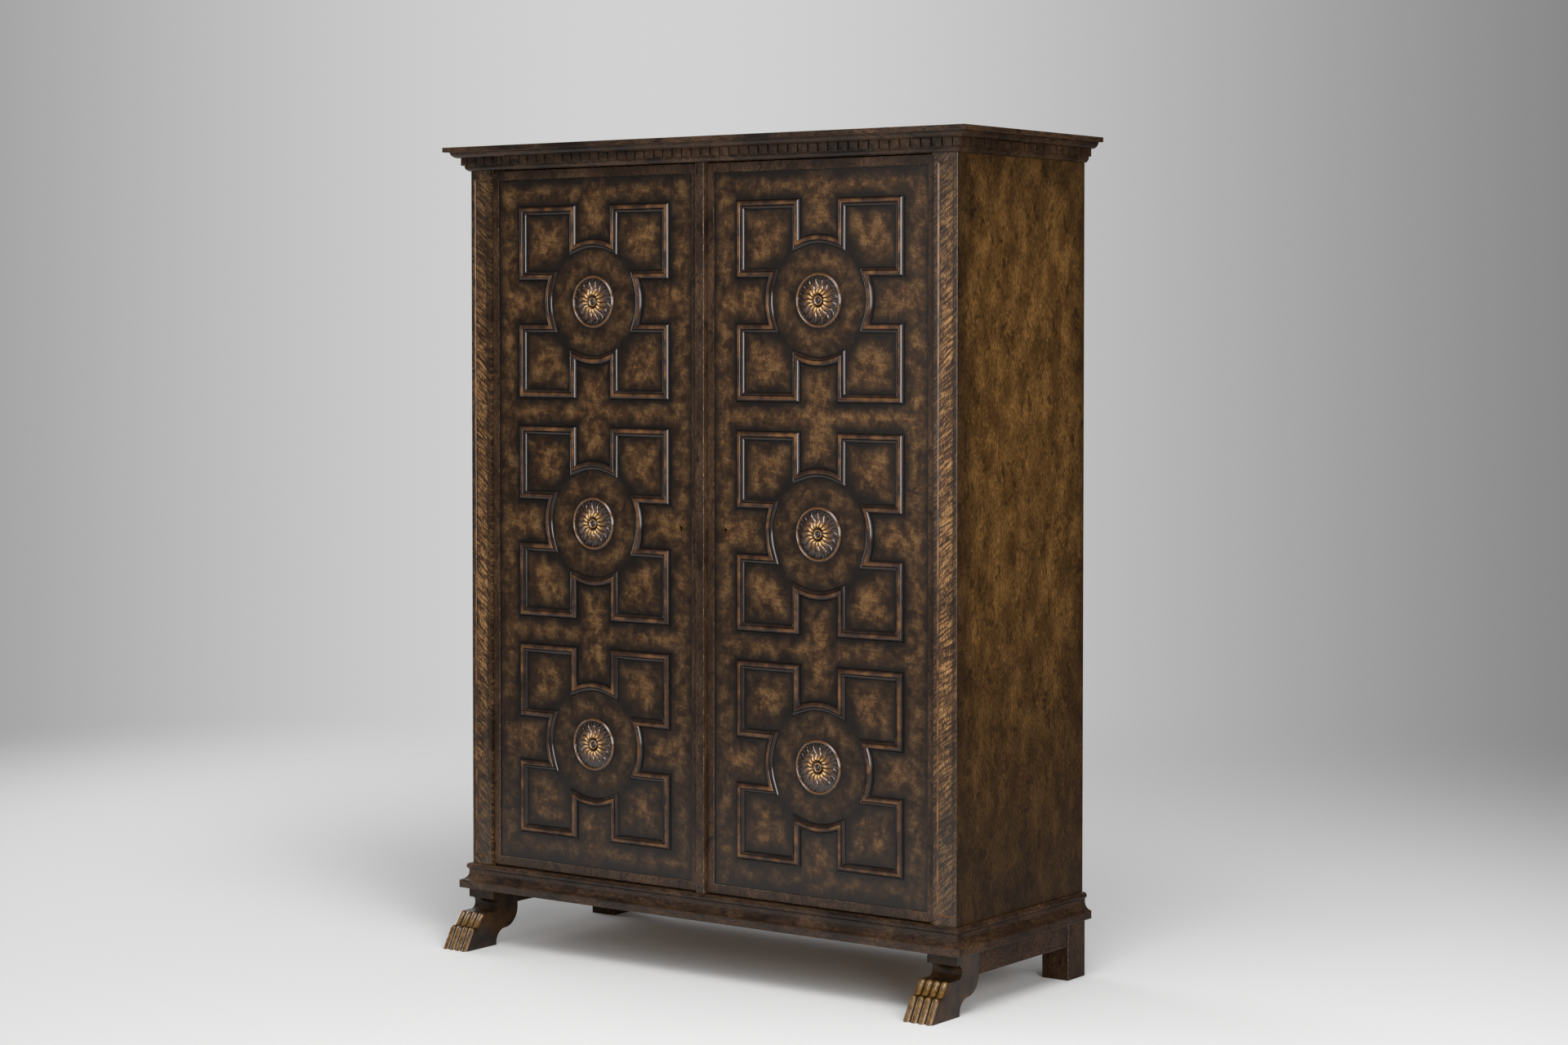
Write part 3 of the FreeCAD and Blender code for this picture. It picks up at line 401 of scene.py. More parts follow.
def flameBirch(name, grain, glow, tints, cloud=0.09, stretch=1.7, cloudShare=0.6, evenness=0.6, slant=16,
               fleckShare=1.0, smudgeShare=0.40, rippleShare=0.0, gloss=0.28, shine=0.5):
    # a cloud is this wide, in metres, and longer by the stretch; the slant is how curls and ripples lean
    material, tree, place = newMaterial(name)
    along = addNode(tree, "Mapping", place, sockets={"Rotation": birch["turns"][grain]})
    drift = addNode(tree, "TexNoise", along, sockets={"Scale": 6, "Detail": 2})
    warped = addNode(tree, "VectorMath", drift.outputs["Color"], (birch["drift"],) * 3, along,
                     operation="MULTIPLY_ADD")
    # soft clouds, dark curls, flecks along the grain, ripples across it and fine fibre
    cloudSpace = addNode(tree, "Mapping", warped, vector_type="TEXTURE", sockets={"Scale": (1, 1, stretch)})
    clouds = addNode(tree, "TexNoise", cloudSpace,
                     sockets={"Scale": 1 / cloud, "Detail": 5, "Roughness": 0.64})
    smudgeSpace = addNode(tree, "Mapping", warped, vector_type="TEXTURE",
                          sockets={"Rotation": (0, math.radians(slant), 0),
                                   "Scale": (1, 1, birch["smudgeLength"])})
    smudges = addNode(tree, "TexNoise", smudgeSpace,
                      sockets={"Scale": 1 / birch["smudge"], "Detail": 4, "Roughness": 0.6,
                               "Distortion": 0.9})
    fleckSpace = addNode(tree, "Mapping", warped, vector_type="TEXTURE",
                         sockets={"Scale": (1, 1, birch["fleckLength"] * stretch)})
    flecks = addNode(tree, "TexNoise", fleckSpace,
                     sockets={"Scale": 1 / birch["fleck"], "Detail": 2.5, "Roughness": 0.6,
                              "Distortion": 0.3})
    rippleSpace = addNode(tree, "Mapping", warped, vector_type="TEXTURE",
                          sockets={"Rotation": (0, math.radians(slant), 0),
                                   "Scale": (birch["rippleWidth"], birch["rippleWidth"], 1)})
    ripples = addNode(tree, "TexNoise", rippleSpace,
                      sockets={"Scale": 1 / birch["ripple"], "Detail": 1.5, "Roughness": 0.4})
    fibreSpace = addNode(tree, "Mapping", along, vector_type="TEXTURE",
                         sockets={"Scale": (1, 1, birch["fibreLength"])})
    fibre = addNode(tree, "TexNoise", fibreSpace, sockets={"Scale": 1 / birch["fibre"], "Detail": 3})
    # the shares say how far each noise swings the tone, and half of every swing is taken off again
    fleckSwing = birch["fleckSwing"] * fleckShare
    fibreSwing = birch["fibreSwing"] * fleckShare
    rippleSwing = birch["rippleSwing"] * rippleShare
    tone = addNode(tree, "Math", clouds, cloudShare, birch["middle"] - cloudShare / 2,
                   operation="MULTIPLY_ADD")
    tone = addNode(tree, "Math", flecks, fleckSwing, tone, operation="MULTIPLY_ADD")
    tone = addNode(tree, "Math", fibre, fibreSwing, tone, operation="MULTIPLY_ADD")
    tone = addNode(tree, "Math", ripples, rippleSwing, tone, operation="MULTIPLY_ADD")
    tone = addNode(tree, "Math", tone, (fleckSwing + fibreSwing + rippleSwing) / 2, operation="SUBTRACT")
    curls = addNode(tree, "MapRange", smudges, *birch["curls"], interpolation_type="SMOOTHSTEP")
    tone = addNode(tree, "Math", curls, -smudgeShare, tone, operation="MULTIPLY_ADD")
    ramp = addNode(tree, "ValToRGB", tone)
    ramp.color_ramp.elements.new(0.5)
    for stop, where, tint in zip(ramp.color_ramp.elements, birch["stops"], tints):
        stop.position = where
        stop.color = linear(tint)
    # where the stain was rubbed back, less in the dark clouds and more in the light ones
    shade = glow(tree, place) if callable(glow) else glow
    ragged = addNode(tree, "MapRange", clouds, *birch["patches"], evenness, birch["patchSum"] - evenness)
    rubbed = addNode(tree, "Math", shade, ragged, operation="MULTIPLY", use_clamp=True)
    stain = addNode(tree, "Mix", data_type="RGBA",
                    sockets={0: clouds, 6: linear(birch["black"][0]), 7: linear(birch["black"][1])})
    wood = addNode(tree, "Mix", data_type="RGBA", sockets={0: rubbed, 6: stain.outputs[2], 7: ramp})
    relief = addNode(tree, "Bump", sockets={"Height": fibre, "Distance": birch["pores"], "Strength": 0.4})
    rough = addNode(tree, "MapRange", clouds, 0.3, 0.7, gloss, gloss + birch["dulled"])
    polish = addNode(tree, "BsdfPrincipled", wood.outputs[2],
                     sockets={"Roughness": rough, "IOR": 1.5, "Specular IOR Level": shine,
                              "Coat Weight": birch["coat"] * shine, "Coat Roughness": birch["polish"],
                              "Normal": relief})
    addNode(tree, "OutputMaterial", polish)
    return material


# door panels: small golden clouds on near black, with a soft shine on the flat
doorBirch = flameBirch("flame birch door panel", "Z", doorRubAndFootShade, birch["door"], cloud=0.026, stretch=1.0,
                       cloudShare=0.7, evenness=0.45, slant=9, fleckShare=0.4, smudgeShare=0.20,
                       rippleShare=0.09, shine=0.38)
# sides and back: broad clouds with fine flecks, golden in the middle and nearly matt
sideBirch = flameBirch("flame birch side", "Z", sideRubAndFootShade, birch["side"], cloud=0.055, cloudShare=0.85,
                       evenness=0.85, fleckShare=0.8, smudgeShare=0.24, gloss=0.36, shine=0.04)
# pilasters: bright ripples that lean to opposite sides in the two sunk fields
leftFlame = flameBirch("left pilaster flame birch", "Z", pilasterGlow, birch["field"], slant=38,
                       smudgeShare=0.1, rippleShare=0.45)
rightFlame = flameBirch("right pilaster flame birch", "Z", pilasterGlow, birch["field"], slant=-38,
                        smudgeShare=0.1, rippleShare=0.45)
# frame and mouldings: so dark that the figure is only a hint, and nearly matt where they show no shine
uprightBirch = flameBirch("dark birch, upright grain", "Z", glow=0.8, tints=birch["dark"], shine=0.3)
levelBirch = flameBirch("dark birch, level grain", "X", glow=0.64, tints=birch["dark"], evenness=0.25,
                        shine=0.3)
deepBirch = flameBirch("dark birch, grain front to back", "Y", glow=0.62, tints=birch["dark"], shine=0.04)
legBirch = flameBirch("dark birch leg", "Z", glow=0.45, tints=birch["dark"], shine=0.04)
# rails: a darker copy of the frame birch, painted shade for the crown's shadow on the head rail; the sill,
# top board and rear apron share it
railBirchPaintedShade = flameBirch("dark birch rail with painted shade", "X", glow=0.35, tints=birch["dark"], shine=0.08)
print("birch finishes are made")


# Worn arrises: the stain is rubbed through to paler wood here and there, in a thin broken line

arris = {
    "stain": "#2a1c13",
    "bare": "#8a6d4b",
    "chip": 0.009,         # metres from one bare place to the next
    "bareFrom": (0.50, 0.74),
    "fine": 0.0005,        # widths of the roundings, in metres
    "border": 0.0007,
    "pilaster": 0.0009,
    "leg": 0.0010,
    "board": 0.0012,
}


def wornArris():
    material, tree, place = newMaterial("worn birch arris")
    chips = addNode(tree, "TexNoise", place,
                    sockets={"Scale": 1 / arris["chip"], "Detail": 5, "Roughness": 0.7})
    bare = addNode(tree, "MapRange", chips, *arris["bareFrom"])
    tone = addNode(tree, "Mix", data_type="RGBA",
                   sockets={0: bare, 6: linear(arris["stain"]), 7: linear(arris["bare"])})
    polish = addNode(tree, "BsdfPrincipled", tone.outputs[2], sockets={"Roughness": 0.25, "IOR": 1.5})
    addNode(tree, "OutputMaterial", polish)
    return material


arrisFinish = wornArris()


# Mouldings on the doors: stained black in the quirks, rubbed to a copper brown on the crests and
# shellacked, so that their slopes mirror the soft boxes in fine bright lines

moulding = {
    "edge": 0.0022,        # upright outer edge
    "fillet": 0.0013,      # flat outside the round
    "quirk": 0.0006,       # small groove beside it
    "outer": 0.0060,       # width of the round outer side, which rises over its slopes in degrees
    "outerSlopes": (66, 24),
    "top": 0.0026,         # flat top inside it
    "roll": 0.0024,        # round shoulder down into the groove
    "rollSlopes": (-8, -66),
    "groove": 0.0044,      # height of the groove's floor
    "grooveWidth": 0.0008,
    "inner": 0.0058,       # height of the inner round
    "innerWidth": 0.0058,
    "innerSlopes": (-20, -58),
    "lastFillet": 0.0010,
    "crest": 0.0088,
    "roundSteps": 8,       # steps across a round, along the shoulder and along an arc of the figure
    "rollSteps": 4,
    "arcSteps": 20,
    "black": "#140f0c",
    "brown": "#35241a",
    "copper": "#7a522c",
    "stops": (0.30, 0.62, 1.0),
    "patch": 26,           # scale of the rubbed patches, some 40 mm long
    "patchFrom": (0.35, 0.68),
    "leastRub": 0.55,      # share of the rubbing that is left between the patches
    "roughness": (0.17, 0.27),
    "polish": 0.12,        # roughness of the shellac
}


def rubbedMoulding():
    material, tree, place = newMaterial("rubbed birch moulding")
    split = addNode(tree, "SeparateXYZ", place)
    crest = addNode(tree, "MapRange", split.outputs[1], doorPlan["face"],
                    doorPlan["face"] - moulding["crest"])
    patches = addNode(tree, "TexNoise", place,
                      sockets={"Scale": moulding["patch"], "Detail": 4, "Roughness": 0.6})
    patch = addNode(tree, "MapRange", patches, *moulding["patchFrom"], moulding["leastRub"], 1)
    rubbed = addNode(tree, "Math", crest, patch, operation="MULTIPLY")
    ramp = addNode(tree, "ValToRGB", rubbed)
    ramp.color_ramp.elements.new(0.35)
    for stop, where, tint in zip(ramp.color_ramp.elements, moulding["stops"], ("black", "brown", "copper")):
        stop.position = where
        stop.color = linear(moulding[tint])
    rough = addNode(tree, "MapRange", patches, 0.3, 0.7, *moulding["roughness"])
    polish = addNode(tree, "BsdfPrincipled", ramp,
                     sockets={"Roughness": rough, "IOR": 1.5, "Specular IOR Level": 0.3, "Coat Weight": 0.25,
                              "Coat Roughness": moulding["polish"]})
    addNode(tree, "OutputMaterial", polish)
    return material


def sweep(start, width, slopes, steps):
    # spots along an arc that turns from the first slope to the last over a given width
    turns = [math.radians(slopes[0] + (slopes[1] - slopes[0]) * (count + 0.5) / steps)
             for count in range(steps)]
    scale = width / sum(math.cos(turn) for turn in turns)
    spots = []
    for turn in turns:
        start = start + scale * Vector((math.cos(turn), math.sin(turn)))
        spots.append(start)
    return spots


def mouldingSteps():
    # insets and rises across the moulding, from the top of its outer edge inwards
    spots = [Vector((0, moulding["edge"])), Vector((moulding["fillet"], moulding["edge"]))]
    spots.append(spots[-1] + Vector((moulding["quirk"] / 2, -moulding["quirk"])))
    spots.append(spots[-1] + Vector((moulding["quirk"] / 2, moulding["quirk"])))
    spots += sweep(spots[-1], moulding["outer"], moulding["outerSlopes"], moulding["roundSteps"])
    spots.append(spots[-1] + Vector((moulding["top"], 0)))
    spots += sweep(spots[-1], moulding["roll"], moulding["rollSlopes"], moulding["rollSteps"])
    spots.append(Vector((spots[-1].x + moulding["grooveWidth"] / 2, moulding["groove"])))
    spots.append(Vector((spots[-1].x + moulding["grooveWidth"], moulding["groove"])))
    spots.append(Vector((spots[-1].x + moulding["grooveWidth"], moulding["inner"])))
    spots += sweep(spots[-1], moulding["innerWidth"], moulding["innerSlopes"], moulding["roundSteps"])
    spots.append(spots[-1] + Vector((moulding["grooveWidth"] / 4, -moulding["quirk"])))
    spots.append(spots[-1] + Vector((moulding["lastFillet"], 0)))
    return [end - start for start, end in zip(spots, spots[1:])]


def faceCentre(node):
    low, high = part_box(node)
    return Vector(((low.x + high.x) / 2, doorPlan["face"], (low.z + high.z) / 2))


def figureMoulding(name, centre):
    # the outline, four squares joined by a round: one quarter is drawn and turned to the others
    shape = bmesh.new()
    outer = doorPlan["figure"] / 2
    inner = outer - doorPlan["square"]
    meet = math.sqrt(doorPlan["round"] ** 2 - inner ** 2)
    corners = [(meet, inner), (outer, inner), (outer, outer), (inner, outer), (inner, meet)]
    quarter = [shape.verts.new(centre + Vector((x, 0, z))) for x, z in corners]
    for start, end in zip(quarter, quarter[1:]):
        shape.edges.new((start, end))
    arc = 2 * math.asin(inner / doorPlan["round"])
    bmesh.ops.spin(shape, geom=[quarter[-1]], cent=centre, axis=(0, -1, 0), angle=arc,
                   steps=moulding["arcSteps"])
    bmesh.ops.spin(shape, geom=shape.verts[:] + shape.edges[:], cent=centre, axis=(0, 1, 0),
                   angle=1.5 * math.pi, steps=3, use_duplicate=True)
    bmesh.ops.remove_doubles(shape, verts=shape.verts, dist=1e-5)
    field = bmesh.ops.contextual_create(shape, geom=shape.edges[:])["faces"][0]
    field.normal_update()
    if field.normal.y > 0:
        field.normal_flip()
    # an upright edge, then one inset for each step of the profile
    foot = list(field.edges)
    raised = bmesh.ops.extrude_face_region(shape, geom=[field])["geom"]
    tops = [item for item in raised if isinstance(item, bmesh.types.BMFace)]
    bmesh.ops.translate(shape, vec=(0, -moulding["edge"], 0),
                        verts=[item for item in raised if isinstance(item, bmesh.types.BMVert)])
    for inset, rise in mouldingSteps():
        bmesh.ops.inset_region(shape, faces=tops, thickness=inset, depth=rise, use_even_offset=True,
                               use_boundary=True)
    rim = list(tops[0].edges)
    # the first face and the last inset have many corners, and a moulding is open there
    wide = [face for face in shape.faces if len(face.verts) > 8]
    bmesh.ops.delete(shape, geom=wide, context="FACES_ONLY")
    bmesh.ops.bridge_loops(shape, edges=foot + rim)
    bmesh.ops.recalc_face_normals(shape, faces=shape.faces)
    return meshFrom(shape, name, sharpAngle=32)


mouldingFinish = rubbedMoulding()
for side in sides:
    for storey in storeys:
        node = "%s_%s_moulding" % (side, storey)
        mesh = figureMoulding(node + "_carved", faceCentre(node))
        keepPiece(node + "_carved", mesh, mouldingFinish, bodyOf[node], "stained_birch", node)
print("figure mouldings are laid")


# Rosettes: sixteen waved petals in a ringed dish round a small cup and bead, carved in birch. The rub is a
# bright copper on the inner ends of the petals and on the cup, and the hollows sink to black; its palest
# cream on the cup's rim and the petals' roots is partly painted highlight.

rosette = {
    "petals": 16,
    "radius": 0.058,
    "lip": 0.0568,         # inner edge of the flat lip
    "ring": 0.0518,        # inner edge of the ring
    "tip": 0.0480,         # tips of the petals
    "root": 0.0155,        # rounded inner ends
    "groove": 0.0130,      # bottom of the groove round the cup
    "cup": 0.0085,         # crest of the cup's rim
    "bead": 0.0048,
    "bulb": 0.0190,        # highest place of a petal
    "bulbWidth": 0.0042,
    "bulbShare": 0.38,     # share of a petal's height that only the bulb has
    "rimWidth": 0.0013,
    "fullness": 0.84,      # share of the pitch that a petal fills at its root
    "wave": 0.075,         # how far a petal waves to each side, in radians
    "taper": (0.3, 1.2),   # shares of a petal's length between which it narrows to nothing
    "thin": 0.04,          # where it is narrower than this it ends
    "roundness": 0.8,
    "veinFrom": (0.15, 0.4),   # the groove along a petal: where it starts, how deep and how wide it is
    "veinDepth": 0.45,
    "veinWidth": 0.3,
    "droopFrom": (0.6, 1.1),   # towards its tip a petal sinks by this much
    "droop": 0.5,
    "rings": 80,
    "spokes": 320,
    "skirt": 0.0002,       # the foot of the outer edge stands out by this
    "lipHeight": 0.0026,   # heights above the panel
    "ringFoot": 0.0018,
    "ringRise": 0.0044,
    "dishFoot": 0.0012,
    "dishRise": 0.0026,    # the dish is higher in its middle, inside its top's radius
    "dishTop": 0.024,
    "relief": 0.0052,      # height of a petal over the dish
    "rootFade": (0.0004, 0.0016),   # outside the groove and the root, where the petals come up
    "behind": 0.3,         # share of that height for the petals that show between the others
    "behindFrom": (0.028, 0.038),
    "cupFoot": 0.0008,
    "stem": 0.0026,
    "stemEdge": 0.001,     # the stem is at its full height this far outside the cup's rim
    "rim": 0.0030,
    "beadRise": 0.0034,
    "lipRub": 0.35,        # how far the stain is rubbed back there
    "ringRub": (0.20, 0.42),   # at the ring's foot, and how much more on its crest
    # the palest rub on the petals' roots and the cup's rim is partly painted highlight
    "petalRubAndHighlight": (0.25, 0.80),  # at the tips of the petals, and how much more at their roots
    "warmFrom": (0.044, 0.017),     # radii between which it grows
    "dishRub": 0.08,
    "cupRubAndHighlight": (0.06, 0.95),    # in the cup, and how much more on its rim
    "turnUp": 0.13,        # radians that each rosette is turned past the one above it
    "turnSide": 0.07,      # and past its neighbour on the left door
    "black": "#190f09",
    "brown": "#3a2413",
    "copper": "#785025",
    # the cream tint stands partly for painted highlight on the cup's rim and the petals' roots
    "bright": "#c09a62",
    "stops": (0.08, 0.30, 0.72, 1.0),
    "speck": 160,          # scale of the worn specks, some 6 mm apart
    "wornShare": (0.65, 1.2),
    "roughness": 0.24,
    "polish": 0.10,        # roughness of the shellac
}


def between(value, start, end):
    share = min(max((value - start) / (end - start), 0), 1)
    return share * share * (3 - 2 * share)


def petal(radius, angle, shift, tip):
    # height of a waved petal from 0 to 1, full and round at its root and grooved towards the tip
    share = (radius - rosette["root"]) / (tip - rosette["root"])
    waved = angle + rosette["wave"] * math.sin(2 * math.pi * share)
    turn = waved * rosette["petals"] / (2 * math.pi) + shift
    across = (turn - math.floor(turn) - 0.5) * 2
    half = rosette["fullness"] * (1 - between(share, *rosette["taper"]))
    if half <= rosette["thin"] or abs(across) >= half:
        return 0.0
    across = across / half
    body = (1 - across * across) ** rosette["roundness"]
    vein = between(share, *rosette["veinFrom"]) * math.exp(-(across / rosette["veinWidth"]) ** 2)
    sunk = between(share, *rosette["droopFrom"])
    return body * (1 - rosette["veinDepth"] * vein) * (1 - rosette["droop"] * sunk)


def carvedHeight(radius, angle):
    # height above the panel and how far the stain is rubbed back there, which on the cup's rim and the
    # petals' roots also carries painted highlight
    if radius >= rosette["lip"]:
        return rosette["lipHeight"], rosette["lipRub"]
    if radius >= rosette["ring"]:
        share = (radius - rosette["ring"]) / (rosette["lip"] - rosette["ring"])
        swell = math.sin(math.pi * share) ** 0.7
        least, more = rosette["ringRub"]
        return rosette["ringFoot"] + rosette["ringRise"] * swell, least + more * swell
    if radius >= rosette["groove"]:
        dish = between(radius, rosette["ring"], rosette["dishTop"])
        dish = rosette["dishFoot"] + rosette["dishRise"] * dish
        start, end = rosette["rootFade"]
        ends = between(radius, rosette["groove"] + start, rosette["root"] + end)
        bulb = math.exp(-((radius - rosette["bulb"]) / rosette["bulbWidth"]) ** 2)
        swell = 1 - rosette["bulbShare"] * (1 - bulb)
        front = petal(radius, angle, 0, rosette["tip"]) * ends * swell
        behind = petal(radius, angle, 0.5, rosette["ring"]) * rosette["behind"]
        behind = behind * between(radius, *rosette["behindFrom"])
        rise = max(front, behind)
        warm = between(radius, *rosette["warmFrom"])
        least, more = rosette["petalRubAndHighlight"]
        rub = (least + more * warm) * rise ** 0.5 + rosette["dishRub"] * (1 + warm)
        return dish * ends + rosette["relief"] * rise, rub
    rim = math.exp(-((radius - rosette["cup"]) / rosette["rimWidth"]) ** 2)
    bead = math.sqrt(max(0.0, 1 - (radius / rosette["bead"]) ** 2))
    stem = between(radius, rosette["groove"], rosette["cup"] + rosette["stemEdge"])
    height = rosette["cupFoot"] + rosette["stem"] * stem + rosette["rim"] * rim + rosette["beadRise"] * bead
    least, more = rosette["cupRubAndHighlight"]
    return height, least + more * rim


def carvedRosette(name, centre, turn):
    shape = bmesh.new()
    rims = [rosette["radius"] * (count / rosette["rings"]) for count in range(rosette["rings"] + 1)]
    spoke = [shape.verts.new(centre + Vector((radius, 0, 0))) for radius in rims]
    spoke.append(shape.verts.new(centre + Vector((rosette["radius"] + rosette["skirt"], 0, 0))))
    for start, end in zip(spoke, spoke[1:]):
        shape.edges.new((start, end))
    bmesh.ops.spin(shape, geom=shape.verts[:] + shape.edges[:], cent=centre, axis=(0, 1, 0),
                   angle=2 * math.pi, steps=rosette["spokes"], use_merge=True)
    bmesh.ops.remove_doubles(shape, verts=shape.verts, dist=1e-6)
    rub = shape.verts.layers.float.new("rub")
    for vert in shape.verts:
        flat = vert.co - centre
        radius = math.hypot(flat.x, flat.z)
        if radius > rosette["radius"] + rosette["skirt"] / 2:
            continue
        height, warm = carvedHeight(radius, math.atan2(flat.z, flat.x) + turn)
        vert.co.y -= height
        vert[rub] = warm
    rim = [edge for edge in shape.edges if edge.is_boundary]
    bmesh.ops.contextual_create(shape, geom=rim)
    bmesh.ops.recalc_face_normals(shape, faces=shape.faces)
    return meshFrom(shape, name, sharpAngle=60)


def carvedBirch():
    material, tree, place = newMaterial("carved birch, rubbed to copper with painted highlight")
    rub = addNode(tree, "Attribute", attribute_name="rub").outputs["Fac"]
    specks = addNode(tree, "TexNoise", place,
                     sockets={"Scale": rosette["speck"], "Detail": 4, "Roughness": 0.6})
    worn = addNode(tree, "MapRange", specks, 0.3, 0.7, *rosette["wornShare"])
    warm = addNode(tree, "Math", rub, worn, operation="MULTIPLY")
    ramp = addNode(tree, "ValToRGB", warm)
    ramp.color_ramp.elements.new(0.3)
    ramp.color_ramp.elements.new(0.6)
    tints = ("black", "brown", "copper", "bright")
    for stop, where, tint in zip(ramp.color_ramp.elements, rosette["stops"], tints):
        stop.position = where
        stop.color = linear(rosette[tint])
    polish = addNode(tree, "BsdfPrincipled", ramp,
                     sockets={"Roughness": rosette["roughness"], "IOR": 1.5, "Coat Weight": 0.8,
                              "Coat Roughness": rosette["polish"]})
    addNode(tree, "OutputMaterial", polish)
    return material


carvedFinish = carvedBirch()
for sideCount, side in enumerate(sides):
    for count, storey in enumerate(storeys):
        node = "%s_%s_rosette" % (side, storey)
        turn = rosette["turnUp"] * count + rosette["turnSide"] * sideCount
        mesh = carvedRosette(node + "_carved", faceCentre(node), turn)
        keepPiece(node + "_carved", mesh, carvedFinish, bodyOf[node], "carved_birch", node)
print("rosettes are carved")


# Feet: the crowns of the toes and knuckles are rubbed to a dull gold brown, and the rest is near black.
# A row of crowns is given by its lower and upper end, each as a depth and a height.

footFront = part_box("right_paw_foot")[0].y
foot = {
    "toeLow": (footFront, 0.0),
    "toeHigh": (footFront + 0.028, 0.049),
    "knuckleLow": (footFront + 0.039, 0.049),
    "knuckleHigh": (footFront + 0.061, 0.077),
    "crown": (0.0062, 0.0014),   # metres behind the crowns where the rubbing starts and is full
    "head": (0.082, 0.074),      # it ends at this height
    "speck": 110,          # scale of the worn specks, some 9 mm apart
    "wornFrom": (0.35, 0.65),
    "wornShare": (0.25, 1.2),
    "stainPatch": 26,      # scale of the lighter patches in the stain, some 40 mm apart
    "stainFrom": (0.36, 0.66),
    "black": "#120c08",
    "brown": "#35220f",
    "gold": "#503415",
    "bright": "#80602f",
    "roughness": 0.32,
    "shine": 0.25,
    "coat": 0.5,           # only the rubbed crowns are polished
}


def rowDepth(tree, split, low, high):
    # depth behind the plane of a row's crowns
    run = Vector((high[0] - low[0], high[1] - low[1])).normalized()
    flat = addNode(tree, "CombineXYZ", split.outputs[1], split.outputs[2])
    away = addNode(tree, "VectorMath", flat, (low[0], low[1], 0), operation="SUBTRACT")
    return addNode(tree, "VectorMath", away, (run.y, -run.x, 0), operation="DOT_PRODUCT").outputs["Value"]


def footBirch():
    material, tree, place = newMaterial("birch foot, rubbed toes")
    split = addNode(tree, "SeparateXYZ", place)
    toes = rowDepth(tree, split, foot["toeLow"], foot["toeHigh"])
    knuckles = rowDepth(tree, split, foot["knuckleLow"], foot["knuckleHigh"])
    upper = addNode(tree, "Math", split.outputs[2], foot["toeHigh"][1], operation="GREATER_THAN")
    depth = addNode(tree, "Mix", sockets={0: upper, 2: toes, 3: knuckles})
    crown = addNode(tree, "MapRange", depth, *foot["crown"], interpolation_type="SMOOTHSTEP")
    below = addNode(tree, "MapRange", split.outputs[2], *foot["head"])
    specks = addNode(tree, "TexNoise", place,
                     sockets={"Scale": foot["speck"], "Detail": 5, "Roughness": 0.65})
    worn = addNode(tree, "MapRange", specks, *foot["wornFrom"], *foot["wornShare"])
    crowns = addNode(tree, "Math", crown, below, operation="MULTIPLY")
    rub = addNode(tree, "Math", crowns, worn, operation="MULTIPLY")
    stain = addNode(tree, "TexNoise", place,
                    sockets={"Scale": foot["stainPatch"], "Detail": 4, "Roughness": 0.6})
    stained = addNode(tree, "MapRange", stain, *foot["stainFrom"])
    dark = addNode(tree, "Mix", data_type="RGBA",
                   sockets={0: stained, 6: linear(foot["black"]), 7: linear(foot["brown"])})
    gold = addNode(tree, "Mix", data_type="RGBA",
                   sockets={0: specks, 6: linear(foot["gold"]), 7: linear(foot["bright"])})
    tone = addNode(tree, "Mix", data_type="RGBA", sockets={0: rub, 6: dark.outputs[2], 7: gold.outputs[2]})
    coat = addNode(tree, "Math", rub, foot["coat"], operation="MULTIPLY")
    polish = addNode(tree, "BsdfPrincipled", tone.outputs[2],
                     sockets={"Roughness": foot["roughness"], "IOR": 1.5, "Specular IOR Level": foot["shine"],
                              "Coat Weight": coat, "Coat Roughness": 0.12})
    addNode(tree, "OutputMaterial", polish)
    return material


footFinish = footBirch()
print("birch feet are rubbed")


# Plain boards inside: planed and waxed pine, pale yellow with darker lines of late wood

pine = {
    "pale": "#b08a5c",
    "late": "#8a6238",
    "ring": 0.011,         # metres from one line of late wood to the next on a flat-cut board
    "length": 14,          # how much longer than wide the figure is
    "lateFrom": (0.45, 0.95),
    "relief": 0.00006,     # the late wood stands proud by this much
    "wax": 0.5,            # roughness
}


def planedPine(name, grain):
    material, tree, place = newMaterial(name)
    along = addNode(tree, "Mapping", place, vector_type="TEXTURE",
                    sockets={"Rotation": birch["turns"][grain]})
    stretched = addNode(tree, "Mapping", along, vector_type="TEXTURE",
                        sockets={"Scale": (1, 1, pine["length"])})
    sway = addNode(tree, "TexNoise", stretched, sockets={"Scale": 9, "Detail": 3})
    # at a scale of 1 the bands of the wave texture are 0.31 m apart
    rings = addNode(tree, "TexWave", stretched, bands_direction="X",
                    sockets={"Scale": 0.31 / pine["ring"], "Distortion": 9, "Detail": 3, "Detail Scale": 1.2})
    late = addNode(tree, "MapRange", rings, *pine["lateFrom"])
    mixed = addNode(tree, "Math", late, sway, operation="MULTIPLY")
    tone = addNode(tree, "Mix", data_type="RGBA",
                   sockets={0: mixed, 6: linear(pine["pale"]), 7: linear(pine["late"])})
    relief = addNode(tree, "Bump", sockets={"Height": rings, "Distance": pine["relief"], "Strength": 0.4})
    wax = addNode(tree, "BsdfPrincipled", tone.outputs[2],
                  sockets={"Roughness": pine["wax"], "Normal": relief})
    addNode(tree, "OutputMaterial", wax)
    return material


uprightPine = planedPine("planed pine, upright grain", "Z")
levelPine = planedPine("planed pine, level grain", "X")
deepPine = planedPine("planed pine, grain front to back", "Y")
print("pine is planed")


# Boards and mouldings with rounded arrises

boards = {
    "keptAngle": 28,       # an edge that turns by more degrees is rounded, or else stays crisp
    "straight": 0.98,      # cosines above which an edge runs, and a face looks, along an axis
    "facing": 0.9,
    "jointGap": 0.0001,    # what is nearer than this to a plane lies in it
    "jointLine": sideLow.y,      # seam between a pilaster and its side
    "fieldDepth": 0.003,   # of the sunk field in a pilaster
    "fieldSlope": 0.0024,  # how far the field's walls lean in over that depth
    "fieldEdge": 0.005,    # no part of a wall is nearer than this to the pilaster's own edges
}


